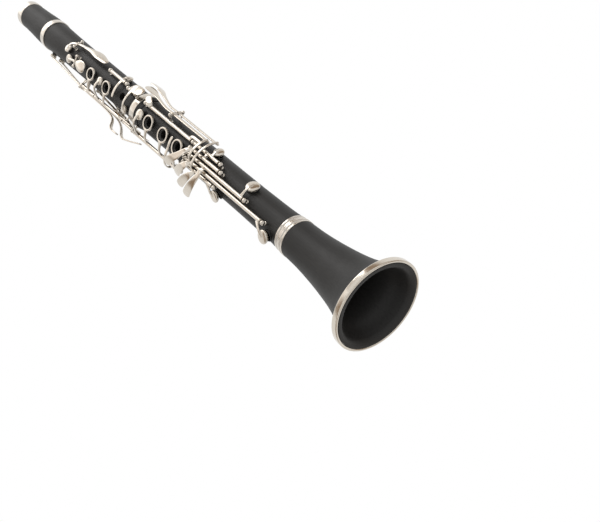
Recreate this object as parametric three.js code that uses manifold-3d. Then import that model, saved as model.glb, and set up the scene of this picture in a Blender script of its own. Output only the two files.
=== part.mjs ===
// B flat soprano clarinet with Boehm keywork, standing on its bell.
// Millimetres. +Z runs up the bore, the origin is the centre of the bell mouth,
// the finger rings face -Y and the player's right hand side is -X.
// Azimuths are degrees round the bore, 0 at the front, growing to the player's right.

import * as THREE from 'three';
import { mergeVertices } from 'three/addons/utils/BufferGeometryUtils.js';
import Module from 'manifold-3d';

const wasm = await Module();
wasm.setup();

// Lengths of the body, from the bell mouth up
const BELL_LENGTH = 101;
const BELL_RING_LENGTH = 5;
const LOWER_END_RING_LENGTH = 5;
const LOWER_JOINT_LENGTH = 227.5;
const MIDDLE_RING_LENGTH = 8;
const UPPER_JOINT_LENGTH = 176.5;
const BARREL_RING_LENGTH = 7;
const BARREL_LENGTH = 49;
const BARREL_TOP_RING_LENGTH = 8;

// Radii of the body
const BORE_RADIUS = 7.3;
const BELL_RIM_RADIUS = 41;
const BELL_RIM_LENGTH = 5.5;
const BELL_RIM_WALL = 2.4;
const BELL_RIM_EDGE = 0.8;
const BELL_NECK_RADIUS = 17.4;
const BELL_WALL = 3;
const LOWER_JOINT_RADIUS = 15.1;
const LOWER_FOOT_RADIUS = 16.9;
const UPPER_JOINT_RADIUS = 14.4;
const UPPER_HEAD_RADIUS = 15.5;
const MIDDLE_RING_RADIUS = 16.8;
const BARREL_FOOT_RADIUS = 15.9;
const BARREL_TOP_RADIUS = 13.8;
const RING_PROUD = 0.4;
const RING_WALL = 1.5;
const RING_BEVEL = 0.4;

// Tenons and sockets that join the four body pieces
const TENON_RADIUS = 11.2;
const TENON_LENGTH = 16;
const CORK_DEPTH = 0.9;
const CORK_LENGTH = 9;
const MOUTHPIECE_SOCKET_RADIUS = 11;
const MOUTHPIECE_SOCKET_LENGTH = 17;

// Clearances
const GAP = 0.3;
const SEAT_GAP = 0.15;
const OVERRUN = 2;
const FLATNESS = 0.04;

// Hinge stock shared by all keys
const HINGE_HEIGHT = 4.4;
const SIDE_HINGE_HEIGHT = 7;
const ROD_RADIUS = 0.85;
const TUBE_BORE_RADIUS = 1.2;
const TUBE_RADIUS = 1.75;
const BALL_RADIUS = 2.2;
const STEM_RADIUS = 1.1;
const FLANGE_RADIUS = 1.6;
const FLANGE_HEIGHT = 0.8;
const PIVOT_BALL_RADIUS = 1.7;
const BALL_FOOT_SHARE = 0.8;
const BALL_ROUND_SHARE = 0.7;
const PIVOT_HALF_SPAN = 1.4;

// Key stock: arms, touches, cups and rings
const RISE = 5;
const ARM_HALF_WIDTH = 1.3;
const ARM_HALF_THICKNESS = 0.75;
const ARM_CROWN = 0.4;
const TOUCH_HALF_WIDTH = 3.6;
const TOUCH_HALF_THICKNESS = 0.6;
const CUP_END_SHARE = 1.2;
const RING_END_SHARE = 1.4;
const TUBE_END_SHARE = 1.3;
const TUBE_END_ANGLE = 4;
const TRILL_HALF_WIDTH = 1.2;
const LEVER_HALF_WIDTH = 1.5;
const PAD_THICKNESS = 1.3;
const PAD_INSET = 0.5;
const CUP_MARGIN = 1.6;
const CUP_WALL_HEIGHT = 1.1;
const CUP_DOME_HEIGHT = 0.9;
const CUP_WALL = 0.6;
const CUP_CROWN_SHARES = [0.6, 0.7];
const CHIMNEY_HEIGHT = 1;
const RING_CHIMNEY_HEIGHT = 2.8;
const CHIMNEY_WALL = 0.9;
const FINGER_RING_GAP = 0.95;
const FINGER_RING_BAND = 1.6;
const FINGER_RING_HEIGHT = 2;

// Tone hole radii
const REGISTER_VENT_RADIUS = 1.5;
const TRILL_HOLE_RADIUS = 1.9;
const SMALL_HOLE_RADIUS = 2.4;
const THROAT_HOLE_RADIUS = 2.8;
const FIRST_HOLE_RADIUS = 3;
const SECOND_HOLE_RADIUS = 3.5;
const THIRD_HOLE_RADIUS = 3.8;
const RIGHT_HAND_HOLE_RADIUS = 4;
const LOW_HOLE_RADIUS = 4.6;
const BUSHING_WALL = 0.7;
const REGISTER_TUBE_WALL = 0.7;
const REGISTER_TUBE_RISE = 2;

// Facet counts
const BODY_FACETS = 20;
const RING_FACETS = 12;
const CUP_FACETS = 8;
const TUBE_FACETS = 6;
const POST_FACETS = 5;
const HOLE_FACETS = 8;
const COVERED_HOLE_FACETS = 6;
const SPAN_STEPS = 2;
const LEVER_STEPS = 1;
const ROUND_STEPS = 2;
const ROUND_ANGLE = 0.47 * Math.PI;
const SLOPE_SHARE = 0.01;

// Thumb rest on the back of the lower joint
const THUMB_REST_SHARE = 0.62;
const THUMB_REST_LENGTH = 26;
const THUMB_REST_HALF_WIDTH = 6.5;
const THUMB_REST_THICKNESS = 1.8;
const THUMB_HOOK_REACH = 13;
const THUMB_PLATE_SHARES = [0.5, 0.71, 1];
const THUMB_HOOK_TAPER_SHARE = 0.18;

// Lacquer, metal, cork and leather
const GRENADILLA = { color: 0x24221f, roughness: 0.42, metalness: 0 };
const SILVER = { color: 0xd8d0c4, roughness: 0.22, metalness: 1 };
const CORK = { color: 0xb98a58, roughness: 0.9, metalness: 0 };
const LEATHER = { color: 0xe6dac2, roughness: 0.7, metalness: 0 };

// Stations of the body, worked out from its lengths
const BELL_TOP = BELL_LENGTH + BELL_RING_LENGTH;
const LOWER_BASE = BELL_TOP + LOWER_END_RING_LENGTH;
const LOWER_TOP = LOWER_BASE + LOWER_JOINT_LENGTH;
const UPPER_BASE = LOWER_TOP + MIDDLE_RING_LENGTH;
const UPPER_TOP = UPPER_BASE + UPPER_JOINT_LENGTH;
const BARREL_BASE = UPPER_TOP + BARREL_RING_LENGTH;
const BARREL_TOP = BARREL_BASE + BARREL_LENGTH;
const TOTAL_LENGTH = BARREL_TOP + BARREL_TOP_RING_LENGTH;
const SOCKET_RADIUS = TENON_RADIUS + GAP;

// Flares as [share of length, share of the foot flare, share of the head flare]
const LOWER_FLARE_SHARES = [
  [0, 1, 0], [0.06, 0.52, 0], [0.17, 0.22, 0], [0.34, 0, 0], [0.93, 0, 0], [0.975, 0, 0.4],
  [1, 0, 1],
];
const UPPER_FLARE_SHARES = [
  [0, 0.3, 0], [0.04, 0, 0], [0.6, 0, 0.05], [0.8, 0, 0.3], [0.92, 0, 0.7], [1, 0, 1],
];
const BARREL_SHARES = [[0, 1], [0.22, 0.9], [0.6, 0.38], [1, 0]];
const BELL_FLARE_SHARES = [
  [0.056, 1], [0.12, 0.725], [0.2, 0.55], [0.3, 0.405], [0.44, 0.27],
  [0.62, 0.14], [0.82, 0.04], [1, 0],
];

function flaredOutline(shares, base, length, radius, footFlare, headFlare) {
  return shares.map(([height, foot, head]) => [
    radius + foot * footFlare + head * headFlare,
    base + height * length,
  ]);
}

const lowerOutline = flaredOutline(
  LOWER_FLARE_SHARES, LOWER_BASE, LOWER_JOINT_LENGTH, LOWER_JOINT_RADIUS,
  LOWER_FOOT_RADIUS - LOWER_JOINT_RADIUS,
  MIDDLE_RING_RADIUS - RING_PROUD - LOWER_JOINT_RADIUS,
);
const upperOutline = flaredOutline(
  UPPER_FLARE_SHARES, UPPER_BASE, UPPER_JOINT_LENGTH, UPPER_JOINT_RADIUS,
  UPPER_HEAD_RADIUS - UPPER_JOINT_RADIUS,
  UPPER_HEAD_RADIUS - UPPER_JOINT_RADIUS,
);

function radiusAt(outline, height) {
  const last = outline.length - 1;
  if (height <= outline[0][1]) return outline[0][0];
  for (let i = 0; i < last; i += 1) {
    const [r0, z0] = outline[i];
    const [r1, z1] = outline[i + 1];
    if (height <= z1) return r0 + ((r1 - r0) * (height - z0)) / (z1 - z0);
  }
  return outline[last][0];
}

const LOWER = {
  base: LOWER_BASE,
  length: LOWER_JOINT_LENGTH,
  radius: LOWER_JOINT_RADIUS,
  axis: LOWER_JOINT_RADIUS + HINGE_HEIGHT,
  outline: lowerOutline,
};
const UPPER = {
  base: UPPER_BASE,
  length: UPPER_JOINT_LENGTH,
  radius: UPPER_JOINT_RADIUS,
  axis: UPPER_JOINT_RADIUS + HINGE_HEIGHT,
  outline: upperOutline,
};

// On the side of the rings' rods and the trill keys the hinges stand further out
const LOWER_SIDE = { ...LOWER, axis: LOWER_JOINT_RADIUS + SIDE_HINGE_HEIGHT };
const UPPER_SIDE = { ...UPPER, axis: UPPER_JOINT_RADIUS + SIDE_HINGE_HEIGHT };

const heightOf = (joint, share) => joint.base + share * joint.length;

// Tone holes: azimuth, share of the joint's length, radius and kind of rim
const UPPER_HOLES = {
  cSharp: { azimuth: 24, share: 0.044, radius: SMALL_HOLE_RADIUS, rim: 'pad' },
  third: { azimuth: -4, share: 0.114, radius: THIRD_HOLE_RADIUS, rim: 'flush' },
  eFlat: { azimuth: -70, share: 0.18, radius: SMALL_HOLE_RADIUS, rim: 'pad' },
  second: { azimuth: 4, share: 0.245, radius: SECOND_HOLE_RADIUS, rim: 'ring' },
  ringPad: { azimuth: -2, share: 0.311, radius: SMALL_HOLE_RADIUS, rim: 'pad' },
  thumb: { azimuth: 180, share: 0.394, radius: THIRD_HOLE_RADIUS, rim: 'ring' },
  first: { azimuth: 2, share: 0.419, radius: FIRST_HOLE_RADIUS, rim: 'ring' },
  fourthTrill: { azimuth: 120, share: 0.382, radius: TRILL_HOLE_RADIUS, rim: 'pad' },
  thirdTrill: { azimuth: 104, share: 0.45, radius: TRILL_HOLE_RADIUS, rim: 'pad' },
  thumbPad: { azimuth: 156, share: 0.537, radius: SMALL_HOLE_RADIUS, rim: 'pad' },
  aKey: { azimuth: 12, share: 0.668, radius: THROAT_HOLE_RADIUS, rim: 'pad' },
  gSharp: { azimuth: -14, share: 0.716, radius: SMALL_HOLE_RADIUS, rim: 'pad' },
  secondTrill: { azimuth: 96, share: 0.875, radius: TRILL_HOLE_RADIUS, rim: 'pad' },
  register: { azimuth: -170, share: 0.745, radius: REGISTER_VENT_RADIUS, rim: 'tube' },
  firstTrill: { azimuth: 77, share: 0.925, radius: TRILL_HOLE_RADIUS, rim: 'pad' },
};
const LOWER_HOLES = {
  lowE: { azimuth: 36, share: 0.046, radius: LOW_HOLE_RADIUS, rim: 'pad' },
  aFlat: { azimuth: -50, share: 0.227, radius: LOW_HOLE_RADIUS, rim: 'pad' },
  lowF: { azimuth: 47, share: 0.374, radius: RIGHT_HAND_HOLE_RADIUS, rim: 'pad' },
  fSharp: { azimuth: -62, share: 0.477, radius: SECOND_HOLE_RADIUS, rim: 'pad' },
  sixth: { azimuth: 0, share: 0.6585, radius: RIGHT_HAND_HOLE_RADIUS, rim: 'ring' },
  sliver: { azimuth: 110, share: 0.712, radius: SMALL_HOLE_RADIUS, rim: 'pad' },
  fifth: { azimuth: 0, share: 0.766, radius: RIGHT_HAND_HOLE_RADIUS, rim: 'ring' },
  fourth: { azimuth: 0, share: 0.8765, radius: RIGHT_HAND_HOLE_RADIUS, rim: 'ring' },
  stackPad: { azimuth: -4, share: 0.941, radius: SECOND_HOLE_RADIUS, rim: 'pad' },
};

// Points round the bore

function around(azimuth, radius, height) {
  const angle = THREE.MathUtils.degToRad(azimuth);
  return new THREE.Vector3(-radius * Math.sin(angle), -radius * Math.cos(angle), height);
}

function outward(azimuth) {
  return around(azimuth, 1, 0);
}

function sideways(azimuth) {
  return around(azimuth + 90, 1, 0);
}

// Turns the local z axis to the given direction, and moves the origin to the place
function placement(place, direction, across) {
  const up = direction.clone().normalize();
  const side = across.clone().normalize();
  const third = new THREE.Vector3().crossVectors(up, side);
  return new THREE.Matrix4().makeBasis(side, third, up).setPosition(place);
}

const seatOn = (azimuth, radius, height) => (
  placement(around(azimuth, radius, height), outward(azimuth), sideways(azimuth))
);

// Closed solids

function signedVolume(position, index) {
  const a = new THREE.Vector3();
  const b = new THREE.Vector3();
  const c = new THREE.Vector3();
  let sum = 0;
  for (let i = 0; i < index.length; i += 3) {
    a.fromBufferAttribute(position, index[i]);
    b.fromBufferAttribute(position, index[i + 1]);
    c.fromBufferAttribute(position, index[i + 2]);
    sum += a.dot(b.cross(c));
  }
  return sum;
}

function solid(geometry) {
  const bare = geometry.clone();
  bare.deleteAttribute('normal');
  bare.deleteAttribute('uv');
  const merged = mergeVertices(bare);
  const source = merged.getIndex().array;
  const faces = [];
  for (let i = 0; i < source.length; i += 3) {
    const [a, b, c] = [source[i], source[i + 1], source[i + 2]];
    if (a !== b && b !== c && c !== a) faces.push(a, b, c);
  }
  if (signedVolume(merged.getAttribute('position'), faces) < 0) faces.reverse();
  return new wasm.Manifold(new wasm.Mesh({
    numProp: 3,
    vertProperties: new Float32Array(merged.getAttribute('position').array),
    triVerts: new Uint32Array(faces),
  }));
}

function join(solids) {
  return solids.reduce((sum, next) => sum.add(next));
}

// A profile of [radius, height] points turned about the local z axis
function turned(outline, facets, matrix) {
  const points = outline.map(([radius, height]) => new THREE.Vector2(radius, height));
  const geometry = new THREE.LatheGeometry(points, facets);
  geometry.rotateX(Math.PI / 2);
  if (matrix) geometry.applyMatrix4(matrix);
  return solid(geometry);
}

function plug(radius, low, high, facets, matrix) {
  return turned([[0, low], [radius, low], [radius, high], [0, high]], facets, matrix);
}

function sleeve(inner, outer, low, high, facets, matrix) {
  const outline = [[inner, low], [outer, low], [outer, high], [inner, high], [inner, low]];
  return turned(outline, facets, matrix);
}

const upright = (azimuth, radius) => (
  new THREE.Matrix4().setPosition(around(azimuth, radius, 0))
);

// Sections of a flat bar: share of the half width, share of the half thickness
const BAR_SECTION_SHARES = [[1, 0], [0.8, 1], [-0.8, 1], [-1, 0], [-0.8, -1], [0.8, -1]];

// A flat bar through stations of azimuth, radius, height and half width.
// Its flat side faces away from the bore all the way.
function bar(stations, halfThickness, roundEnd, spanSteps = SPAN_STEPS) {
  const route = new THREE.CatmullRomCurve3(
    stations.map((s) => new THREE.Vector3(s.azimuth, s.radius, s.height)),
    false, 'catmullrom', 0.5,
  );
  const spans = stations.length - 1;
  const count = spans * spanSteps;
  const steps = Array.from({ length: count + 1 }, (_, i) => i / count);
  const last = stations[spans];
  const before = stations[spans - 1];
  if (roundEnd) {
    const run = around(last.azimuth, last.radius, last.height)
      .distanceTo(around(before.azimuth, before.radius, before.height)) * spans;
    steps.pop();
    const start = Math.max(1 - last.halfWidth / run, steps[steps.length - 1] + SLOPE_SHARE);
    for (let i = 0; i <= ROUND_STEPS; i += 1) {
      steps.push(start + (1 - start) * Math.sin((i / ROUND_STEPS) * ROUND_ANGLE));
    }
  }
  const tail = steps.length - 1 - ROUND_STEPS;
  const rings = steps.map((t, i) => {
    const near = Math.min(Math.floor(t * spans), spans - 1);
    const blend = t * spans - near;
    const wide = THREE.MathUtils.lerp(
      stations[near].halfWidth, stations[near + 1].halfWidth, blend,
    );
    const turn = roundEnd && i > tail ? ((i - tail) / ROUND_STEPS) * ROUND_ANGLE : 0;
    const here = route.getPoint(t);
    const back = route.getPoint(Math.max(t - SLOPE_SHARE, 0));
    const ahead = route.getPoint(Math.min(t + SLOPE_SHARE, 1));
    const along = around(ahead.x, ahead.y, ahead.z).sub(around(back.x, back.y, back.z));
    const across = new THREE.Vector3().crossVectors(along, outward(here.x)).normalize();
    const up = new THREE.Vector3().crossVectors(across, along).normalize();
    const centre = around(here.x, here.y, here.z);
    return BAR_SECTION_SHARES.map(([a, b]) => centre.clone()
      .addScaledVector(across, a * wide * Math.cos(turn))
      .addScaledVector(up, b * halfThickness));
  });
  return loft(rings);
}

// Skins a row of closed sections and caps both ends
function loft(rings) {
  const sides = rings[0].length;
  const index = [];
  for (let i = 0; i < rings.length - 1; i += 1) {
    for (let j = 0; j < sides; j += 1) {
      const k = (j + 1) % sides;
      const [a, b] = [i * sides + j, i * sides + k];
      index.push(a, b, b + sides, a, b + sides, a + sides);
    }
  }
  const foot = (rings.length - 1) * sides;
  for (let j = 1; j < sides - 1; j += 1) {
    index.push(0, j + 1, j, foot, foot + j, foot + j + 1);
  }
  const geometry = new THREE.BufferGeometry().setFromPoints(rings.flat());
  geometry.setIndex(index);
  return solid(geometry);
}

// A table of [azimuth, share of the rise above the hinge, share of the joint, share of width]
function stationsOf(joint, shares, halfWidth) {
  return shares.map(([azimuth, rise, height, wide]) => ({
    azimuth,
    radius: joint.axis + rise * RISE,
    height: heightOf(joint, height),
    halfWidth: wide * halfWidth,
  }));
}

const arm = (joint, shares) => (
  bar(stationsOf(joint, shares, ARM_HALF_WIDTH), ARM_HALF_THICKNESS, false)
);
const touch = (joint, shares) => (
  bar(stationsOf(joint, shares, TOUCH_HALF_WIDTH), TOUCH_HALF_THICKNESS, true)
);

// Rims of the tone holes

const RIM_HEIGHTS = {
  ring: RING_CHIMNEY_HEIGHT,
  tube: REGISTER_TUBE_RISE,
  pad: CHIMNEY_HEIGHT,
  flush: 0,
};

function rimRadius(joint, hole) {
  return radiusAt(joint.outline, heightOf(joint, hole.share)) + RIM_HEIGHTS[hole.rim];
}

const facetsOf = (hole) => (hole.rim === 'pad' ? COVERED_HOLE_FACETS : HOLE_FACETS);

function boredBody(body, joint, holes) {
  let result = body;
  const list = Object.values(holes);
  list.filter((hole) => hole.rim === 'ring' || hole.rim === 'pad').forEach((hole) => {
    const matrix = seatOn(hole.azimuth, 0, heightOf(joint, hole.share));
    const low = joint.radius - CHIMNEY_HEIGHT;
    const rim = rimRadius(joint, hole);
    const wide = hole.radius + CHIMNEY_WALL;
    result = result.add(plug(wide, low, rim, facetsOf(hole), matrix));
  });
  list.forEach((hole) => {
    const matrix = seatOn(hole.azimuth, 0, heightOf(joint, hole.share));
    const lined = hole.rim === 'tube' ? REGISTER_TUBE_WALL + SEAT_GAP : 0;
    const bushed = hole === UPPER_HOLES.thumb ? BUSHING_WALL + SEAT_GAP : 0;
    const radius = hole.radius + lined + bushed;
    const top = rimRadius(joint, hole) + OVERRUN;
    result = result.subtract(plug(radius, BORE_RADIUS / 2, top, facetsOf(hole), matrix));
  });
  return result;
}

// Body pieces

function tenonOutline(shoulder, direction) {
  const margin = (TENON_LENGTH - CORK_LENGTH) / 2;
  const groove = TENON_RADIUS - CORK_DEPTH;
  return [
    [TENON_RADIUS, shoulder],
    [TENON_RADIUS, shoulder + direction * margin],
    [groove, shoulder + direction * margin],
    [groove, shoulder + direction * (margin + CORK_LENGTH)],
    [TENON_RADIUS, shoulder + direction * (margin + CORK_LENGTH)],
    [TENON_RADIUS, shoulder + direction * TENON_LENGTH],
    [BORE_RADIUS, shoulder + direction * TENON_LENGTH],
  ];
}

function tenonCork(shoulder, direction) {
  const margin = (TENON_LENGTH - CORK_LENGTH) / 2 + SEAT_GAP;
  const near = shoulder + direction * margin;
  const far = shoulder + direction * (TENON_LENGTH - margin);
  const inner = TENON_RADIUS - CORK_DEPTH + SEAT_GAP;
  return sleeve(
    inner, TENON_RADIUS + SEAT_GAP, Math.min(near, far), Math.max(near, far), BODY_FACETS,
  );
}

function socketRing(low, high, radius) {
  const inner = radius - RING_WALL;
  const outline = [
    [inner, low], [radius - RING_BEVEL, low], [radius, low + RING_BEVEL],
    [radius, high - RING_BEVEL], [radius - RING_BEVEL, high], [inner, high], [inner, low],
  ];
  return turned(outline, BODY_FACETS);
}

const underRing = (radius) => radius - RING_WALL - SEAT_GAP;

const BELL_RING_RADIUS = BELL_NECK_RADIUS + RING_PROUD;
const LOWER_END_RING_RADIUS = LOWER_FOOT_RADIUS + RING_PROUD;
const BARREL_RING_RADIUS = BARREL_FOOT_RADIUS + RING_PROUD;
const BARREL_TOP_RING_RADIUS = BARREL_TOP_RADIUS + RING_PROUD;

function bell() {
  const mouth = BELL_RIM_RADIUS - BELL_RIM_WALL - SEAT_GAP;
  const flare = mouth - BELL_NECK_RADIUS;
  const outer = BELL_FLARE_SHARES.map(([height, wide]) => [
    BELL_NECK_RADIUS + wide * flare, height * BELL_LENGTH,
  ]);
  const socketFloor = BELL_TOP - TENON_LENGTH - GAP;
  const throat = SOCKET_RADIUS - CORK_DEPTH;
  const inner = BELL_FLARE_SHARES
    .filter(([height]) => height * BELL_LENGTH < socketFloor)
    .map(([height, wide]) => [
      Math.max(BELL_NECK_RADIUS + wide * flare - BELL_WALL - (1 - wide) * BELL_WALL, throat),
      height * BELL_LENGTH,
    ])
    .reverse();
  const seat = underRing(BELL_RING_RADIUS);
  return turned([
    [mouth, 0],
    ...outer,
    [seat, BELL_LENGTH],
    [seat, BELL_TOP - SEAT_GAP],
    [SOCKET_RADIUS, BELL_TOP - SEAT_GAP],
    [SOCKET_RADIUS, socketFloor],
    [throat, socketFloor],
    ...inner,
    [mouth - BELL_WALL, 0],
    [mouth, 0],
  ], BODY_FACETS);
}

function bellRimRing() {
  const inner = BELL_RIM_RADIUS - BELL_RIM_WALL;
  return turned([
    [inner, 0],
    [BELL_RIM_RADIUS - BELL_RIM_EDGE, 0],
    [BELL_RIM_RADIUS, BELL_RIM_EDGE],
    [BELL_RIM_RADIUS, BELL_RIM_LENGTH - 2 * BELL_RIM_EDGE],
    [BELL_RIM_RADIUS - BELL_RIM_EDGE, BELL_RIM_LENGTH - BELL_RIM_EDGE / 2],
    [inner + BELL_RIM_EDGE / 2, BELL_RIM_LENGTH],
    [inner, BELL_RIM_LENGTH - BELL_RIM_EDGE / 2],
    [inner, 0],
  ], BODY_FACETS);
}

function lowerJoint() {
  const foot = underRing(LOWER_END_RING_RADIUS);
  const head = underRing(MIDDLE_RING_RADIUS);
  const socketFloor = UPPER_BASE - TENON_LENGTH - GAP;
  const body = turned([
    ...tenonOutline(BELL_TOP, -1).reverse(),
    [foot, BELL_TOP],
    [foot, LOWER_BASE],
    ...lowerOutline,
    [head, LOWER_TOP],
    [head, UPPER_BASE - SEAT_GAP],
    [SOCKET_RADIUS, UPPER_BASE - SEAT_GAP],
    [SOCKET_RADIUS, socketFloor],
    [BORE_RADIUS, socketFloor],
    [BORE_RADIUS, BELL_TOP - TENON_LENGTH],
  ], BODY_FACETS);
  return boredBody(body, LOWER, LOWER_HOLES);
}

function upperJoint() {
  const body = turned([
    ...tenonOutline(UPPER_BASE, -1).reverse(),
    ...upperOutline,
    ...tenonOutline(UPPER_TOP, 1),
    [BORE_RADIUS, UPPER_BASE - TENON_LENGTH],
  ], BODY_FACETS);
  return boredBody(body, UPPER, UPPER_HOLES);
}

function barrel() {
  const foot = underRing(BARREL_RING_RADIUS);
  const head = underRing(BARREL_TOP_RING_RADIUS);
  const socketTop = UPPER_TOP + TENON_LENGTH + GAP;
  const mouthpieceFloor = TOTAL_LENGTH - MOUTHPIECE_SOCKET_LENGTH;
  const waist = BARREL_SHARES.map(([height, wide]) => [
    BARREL_TOP_RADIUS + wide * (BARREL_FOOT_RADIUS - BARREL_TOP_RADIUS),
    BARREL_BASE + height * BARREL_LENGTH,
  ]);
  return turned([
    [SOCKET_RADIUS, UPPER_TOP + SEAT_GAP],
    [foot, UPPER_TOP + SEAT_GAP],
    [foot, BARREL_BASE],
    ...waist,
    [head, BARREL_TOP],
    [head, TOTAL_LENGTH - RING_BEVEL],
    [MOUTHPIECE_SOCKET_RADIUS, TOTAL_LENGTH - RING_BEVEL],
    [MOUTHPIECE_SOCKET_RADIUS, mouthpieceFloor],
    [BORE_RADIUS, mouthpieceFloor],
    [BORE_RADIUS, socketTop],
    [SOCKET_RADIUS, socketTop],
    [SOCKET_RADIUS, UPPER_TOP + SEAT_GAP],
  ], BODY_FACETS);
}

function registerTube() {
  const hole = UPPER_HOLES.register;
  const outer = hole.radius + REGISTER_TUBE_WALL;
  const matrix = seatOn(hole.azimuth, 0, heightOf(UPPER, hole.share));
  const rim = rimRadius(UPPER, hole);
  return sleeve(hole.radius, outer, BORE_RADIUS - OVERRUN / 2, rim, HOLE_FACETS, matrix);
}

function thumbBushing() {
  const hole = UPPER_HOLES.thumb;
  const outer = hole.radius + BUSHING_WALL;
  const matrix = seatOn(hole.azimuth, 0, heightOf(UPPER, hole.share));
  const rim = rimRadius(UPPER, hole) + FLANGE_HEIGHT / 2;
  return sleeve(hole.radius, outer, BORE_RADIUS + SEAT_GAP, rim, HOLE_FACETS, matrix);
}

// The thumb rest: a saddle plate on the joint with a hook that stands off it
function thumbRest() {
  const middle = heightOf(LOWER, THUMB_REST_SHARE);
  const seat = LOWER_JOINT_RADIUS + GAP + THUMB_REST_THICKNESS / 2;
  const half = THUMB_REST_LENGTH / 2;
  const plate = bar(THUMB_PLATE_SHARES.map((wide, i) => ({
    azimuth: 180,
    radius: seat,
    height: middle + (1 - i) * half,
    halfWidth: THUMB_REST_HALF_WIDTH * wide,
  })), THUMB_REST_THICKNESS / 2, false);
  const reach = seat + THUMB_HOOK_REACH;
  const foot = middle - half + THUMB_REST_THICKNESS;
  const side = THUMB_REST_HALF_WIDTH;
  const hookShares = [[0, 0], [0.35, -0.05], [0.7, -0.22], [1, -0.5]];
  const rings = hookShares.map(([out, drop]) => {
    const centre = around(180, seat + out * (reach - seat), foot + drop * THUMB_REST_THICKNESS);
    const wide = side * (1 - THUMB_HOOK_TAPER_SHARE * out);
    return BAR_SECTION_SHARES.map(([a, b]) => centre.clone()
      .addScaledVector(sideways(180), a * wide)
      .add(new THREE.Vector3(0, 0, (b * THUMB_REST_THICKNESS) / 2)));
  });
  return plate.add(loft(rings));
}

// Hinge posts and rods

function post(joint, azimuth, radius, height, ball) {
  const below = radiusAt(joint.outline, height - FLANGE_RADIUS);
  const above = radiusAt(joint.outline, height + FLANGE_RADIUS);
  const foot = Math.max(below, above) + GAP;
  const rise = radius - foot;
  return turned([
    [0, 0],
    [FLANGE_RADIUS, 0],
    [STEM_RADIUS, FLANGE_HEIGHT],
    [STEM_RADIUS, rise - BALL_FOOT_SHARE * ball],
    [ball, rise],
    [BALL_ROUND_SHARE * ball, rise + BALL_ROUND_SHARE * ball],
    [0, rise + ball],
  ], POST_FACETS, seatOn(azimuth, foot, height));
}

function longRod(joint, azimuth, postShares) {
  const heights = postShares.map((share) => heightOf(joint, share));
  const low = Math.min(...heights);
  const high = Math.max(...heights);
  const place = upright(azimuth, joint.axis);
  const posts = heights.map((height) => post(joint, azimuth, joint.axis, height, BALL_RADIUS));
  return join([plug(ROD_RADIUS, low, high, TUBE_FACETS, place), ...posts]);
}

// A rod across the joint between two posts
function crossRod(joint, azimuth, share, rise, halfSpan) {
  const height = heightOf(joint, share);
  const radius = joint.axis + rise * RISE;
  const matrix = placement(
    around(azimuth, radius, height), sideways(azimuth), outward(azimuth),
  );
  const reach = halfSpan + GAP + PIVOT_BALL_RADIUS;
  const spread = THREE.MathUtils.radToDeg(Math.atan2(reach, radius));
  const far = Math.hypot(reach, radius);
  const posts = [-spread, spread].map((turn) => (
    post(joint, azimuth + turn, far, height, PIVOT_BALL_RADIUS)
  ));
  return join([plug(ROD_RADIUS, -reach, reach, TUBE_FACETS, matrix), ...posts]);
}

function crossTube(joint, azimuth, share, rise, from, to, radius) {
  const matrix = placement(
    around(azimuth, joint.axis + rise * RISE, heightOf(joint, share)),
    sideways(azimuth), outward(azimuth),
  );
  return plug(radius, from, to, TUBE_FACETS, matrix);
}

// Cups with their pads, and finger rings

function cupRadius(hole) {
  return hole.radius + CUP_MARGIN;
}

function cup(joint, hole, padApart) {
  const outer = cupRadius(hole);
  const seat = rimRadius(joint, hole) + GAP;
  const lip = PAD_THICKNESS;
  const top = lip + CUP_WALL_HEIGHT;
  const matrix = seatOn(hole.azimuth, seat, heightOf(joint, hole.share));
  const [crownWide, crownHigh] = CUP_CROWN_SHARES;
  const dome = [
    [outer, lip], [outer, top], [crownWide * outer, top + crownHigh * CUP_DOME_HEIGHT],
    [0, top + CUP_DOME_HEIGHT],
  ];
  if (padApart) {
    const inner = outer - CUP_WALL;
    return turned([
      [0, top - CUP_WALL], [inner, top - CUP_WALL], [inner, lip], ...dome,
    ], CUP_FACETS, matrix);
  }
  return turned([
    [0, 0], [outer - PAD_INSET, 0], [outer - PAD_INSET, lip], ...dome,
  ], CUP_FACETS, matrix);
}

function pad(joint, hole) {
  const outer = cupRadius(hole) - CUP_WALL - 2 * SEAT_GAP;
  const matrix = seatOn(
    hole.azimuth, rimRadius(joint, hole) + GAP, heightOf(joint, hole.share),
  );
  const high = PAD_THICKNESS + CUP_WALL_HEIGHT - CUP_WALL - SEAT_GAP;
  return turned([
    [0, 0], [outer - PAD_INSET, 0], [outer, PAD_INSET], [outer, high], [0, high],
  ], CUP_FACETS, matrix);
}

function ringRadius(hole) {
  return hole.radius + CHIMNEY_WALL + FINGER_RING_GAP + FINGER_RING_BAND;
}

function fingerRing(joint, hole) {
  const outer = ringRadius(hole);
  const inner = outer - FINGER_RING_BAND;
  const high = rimRadius(joint, hole) + SEAT_GAP;
  const low = high - FINGER_RING_HEIGHT;
  const matrix = seatOn(hole.azimuth, 0, heightOf(joint, hole.share));
  return sleeve(inner, outer, low, high, RING_FACETS, matrix);
}

// The arm's station on top of a cup
function overCup(joint, hole, wide) {
  const top = rimRadius(joint, hole) + GAP + PAD_THICKNESS + CUP_WALL_HEIGHT;
  return {
    azimuth: hole.azimuth,
    radius: top + CUP_DOME_HEIGHT / 2,
    height: heightOf(joint, hole.share),
    halfWidth: wide * ARM_HALF_WIDTH,
  };
}

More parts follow.
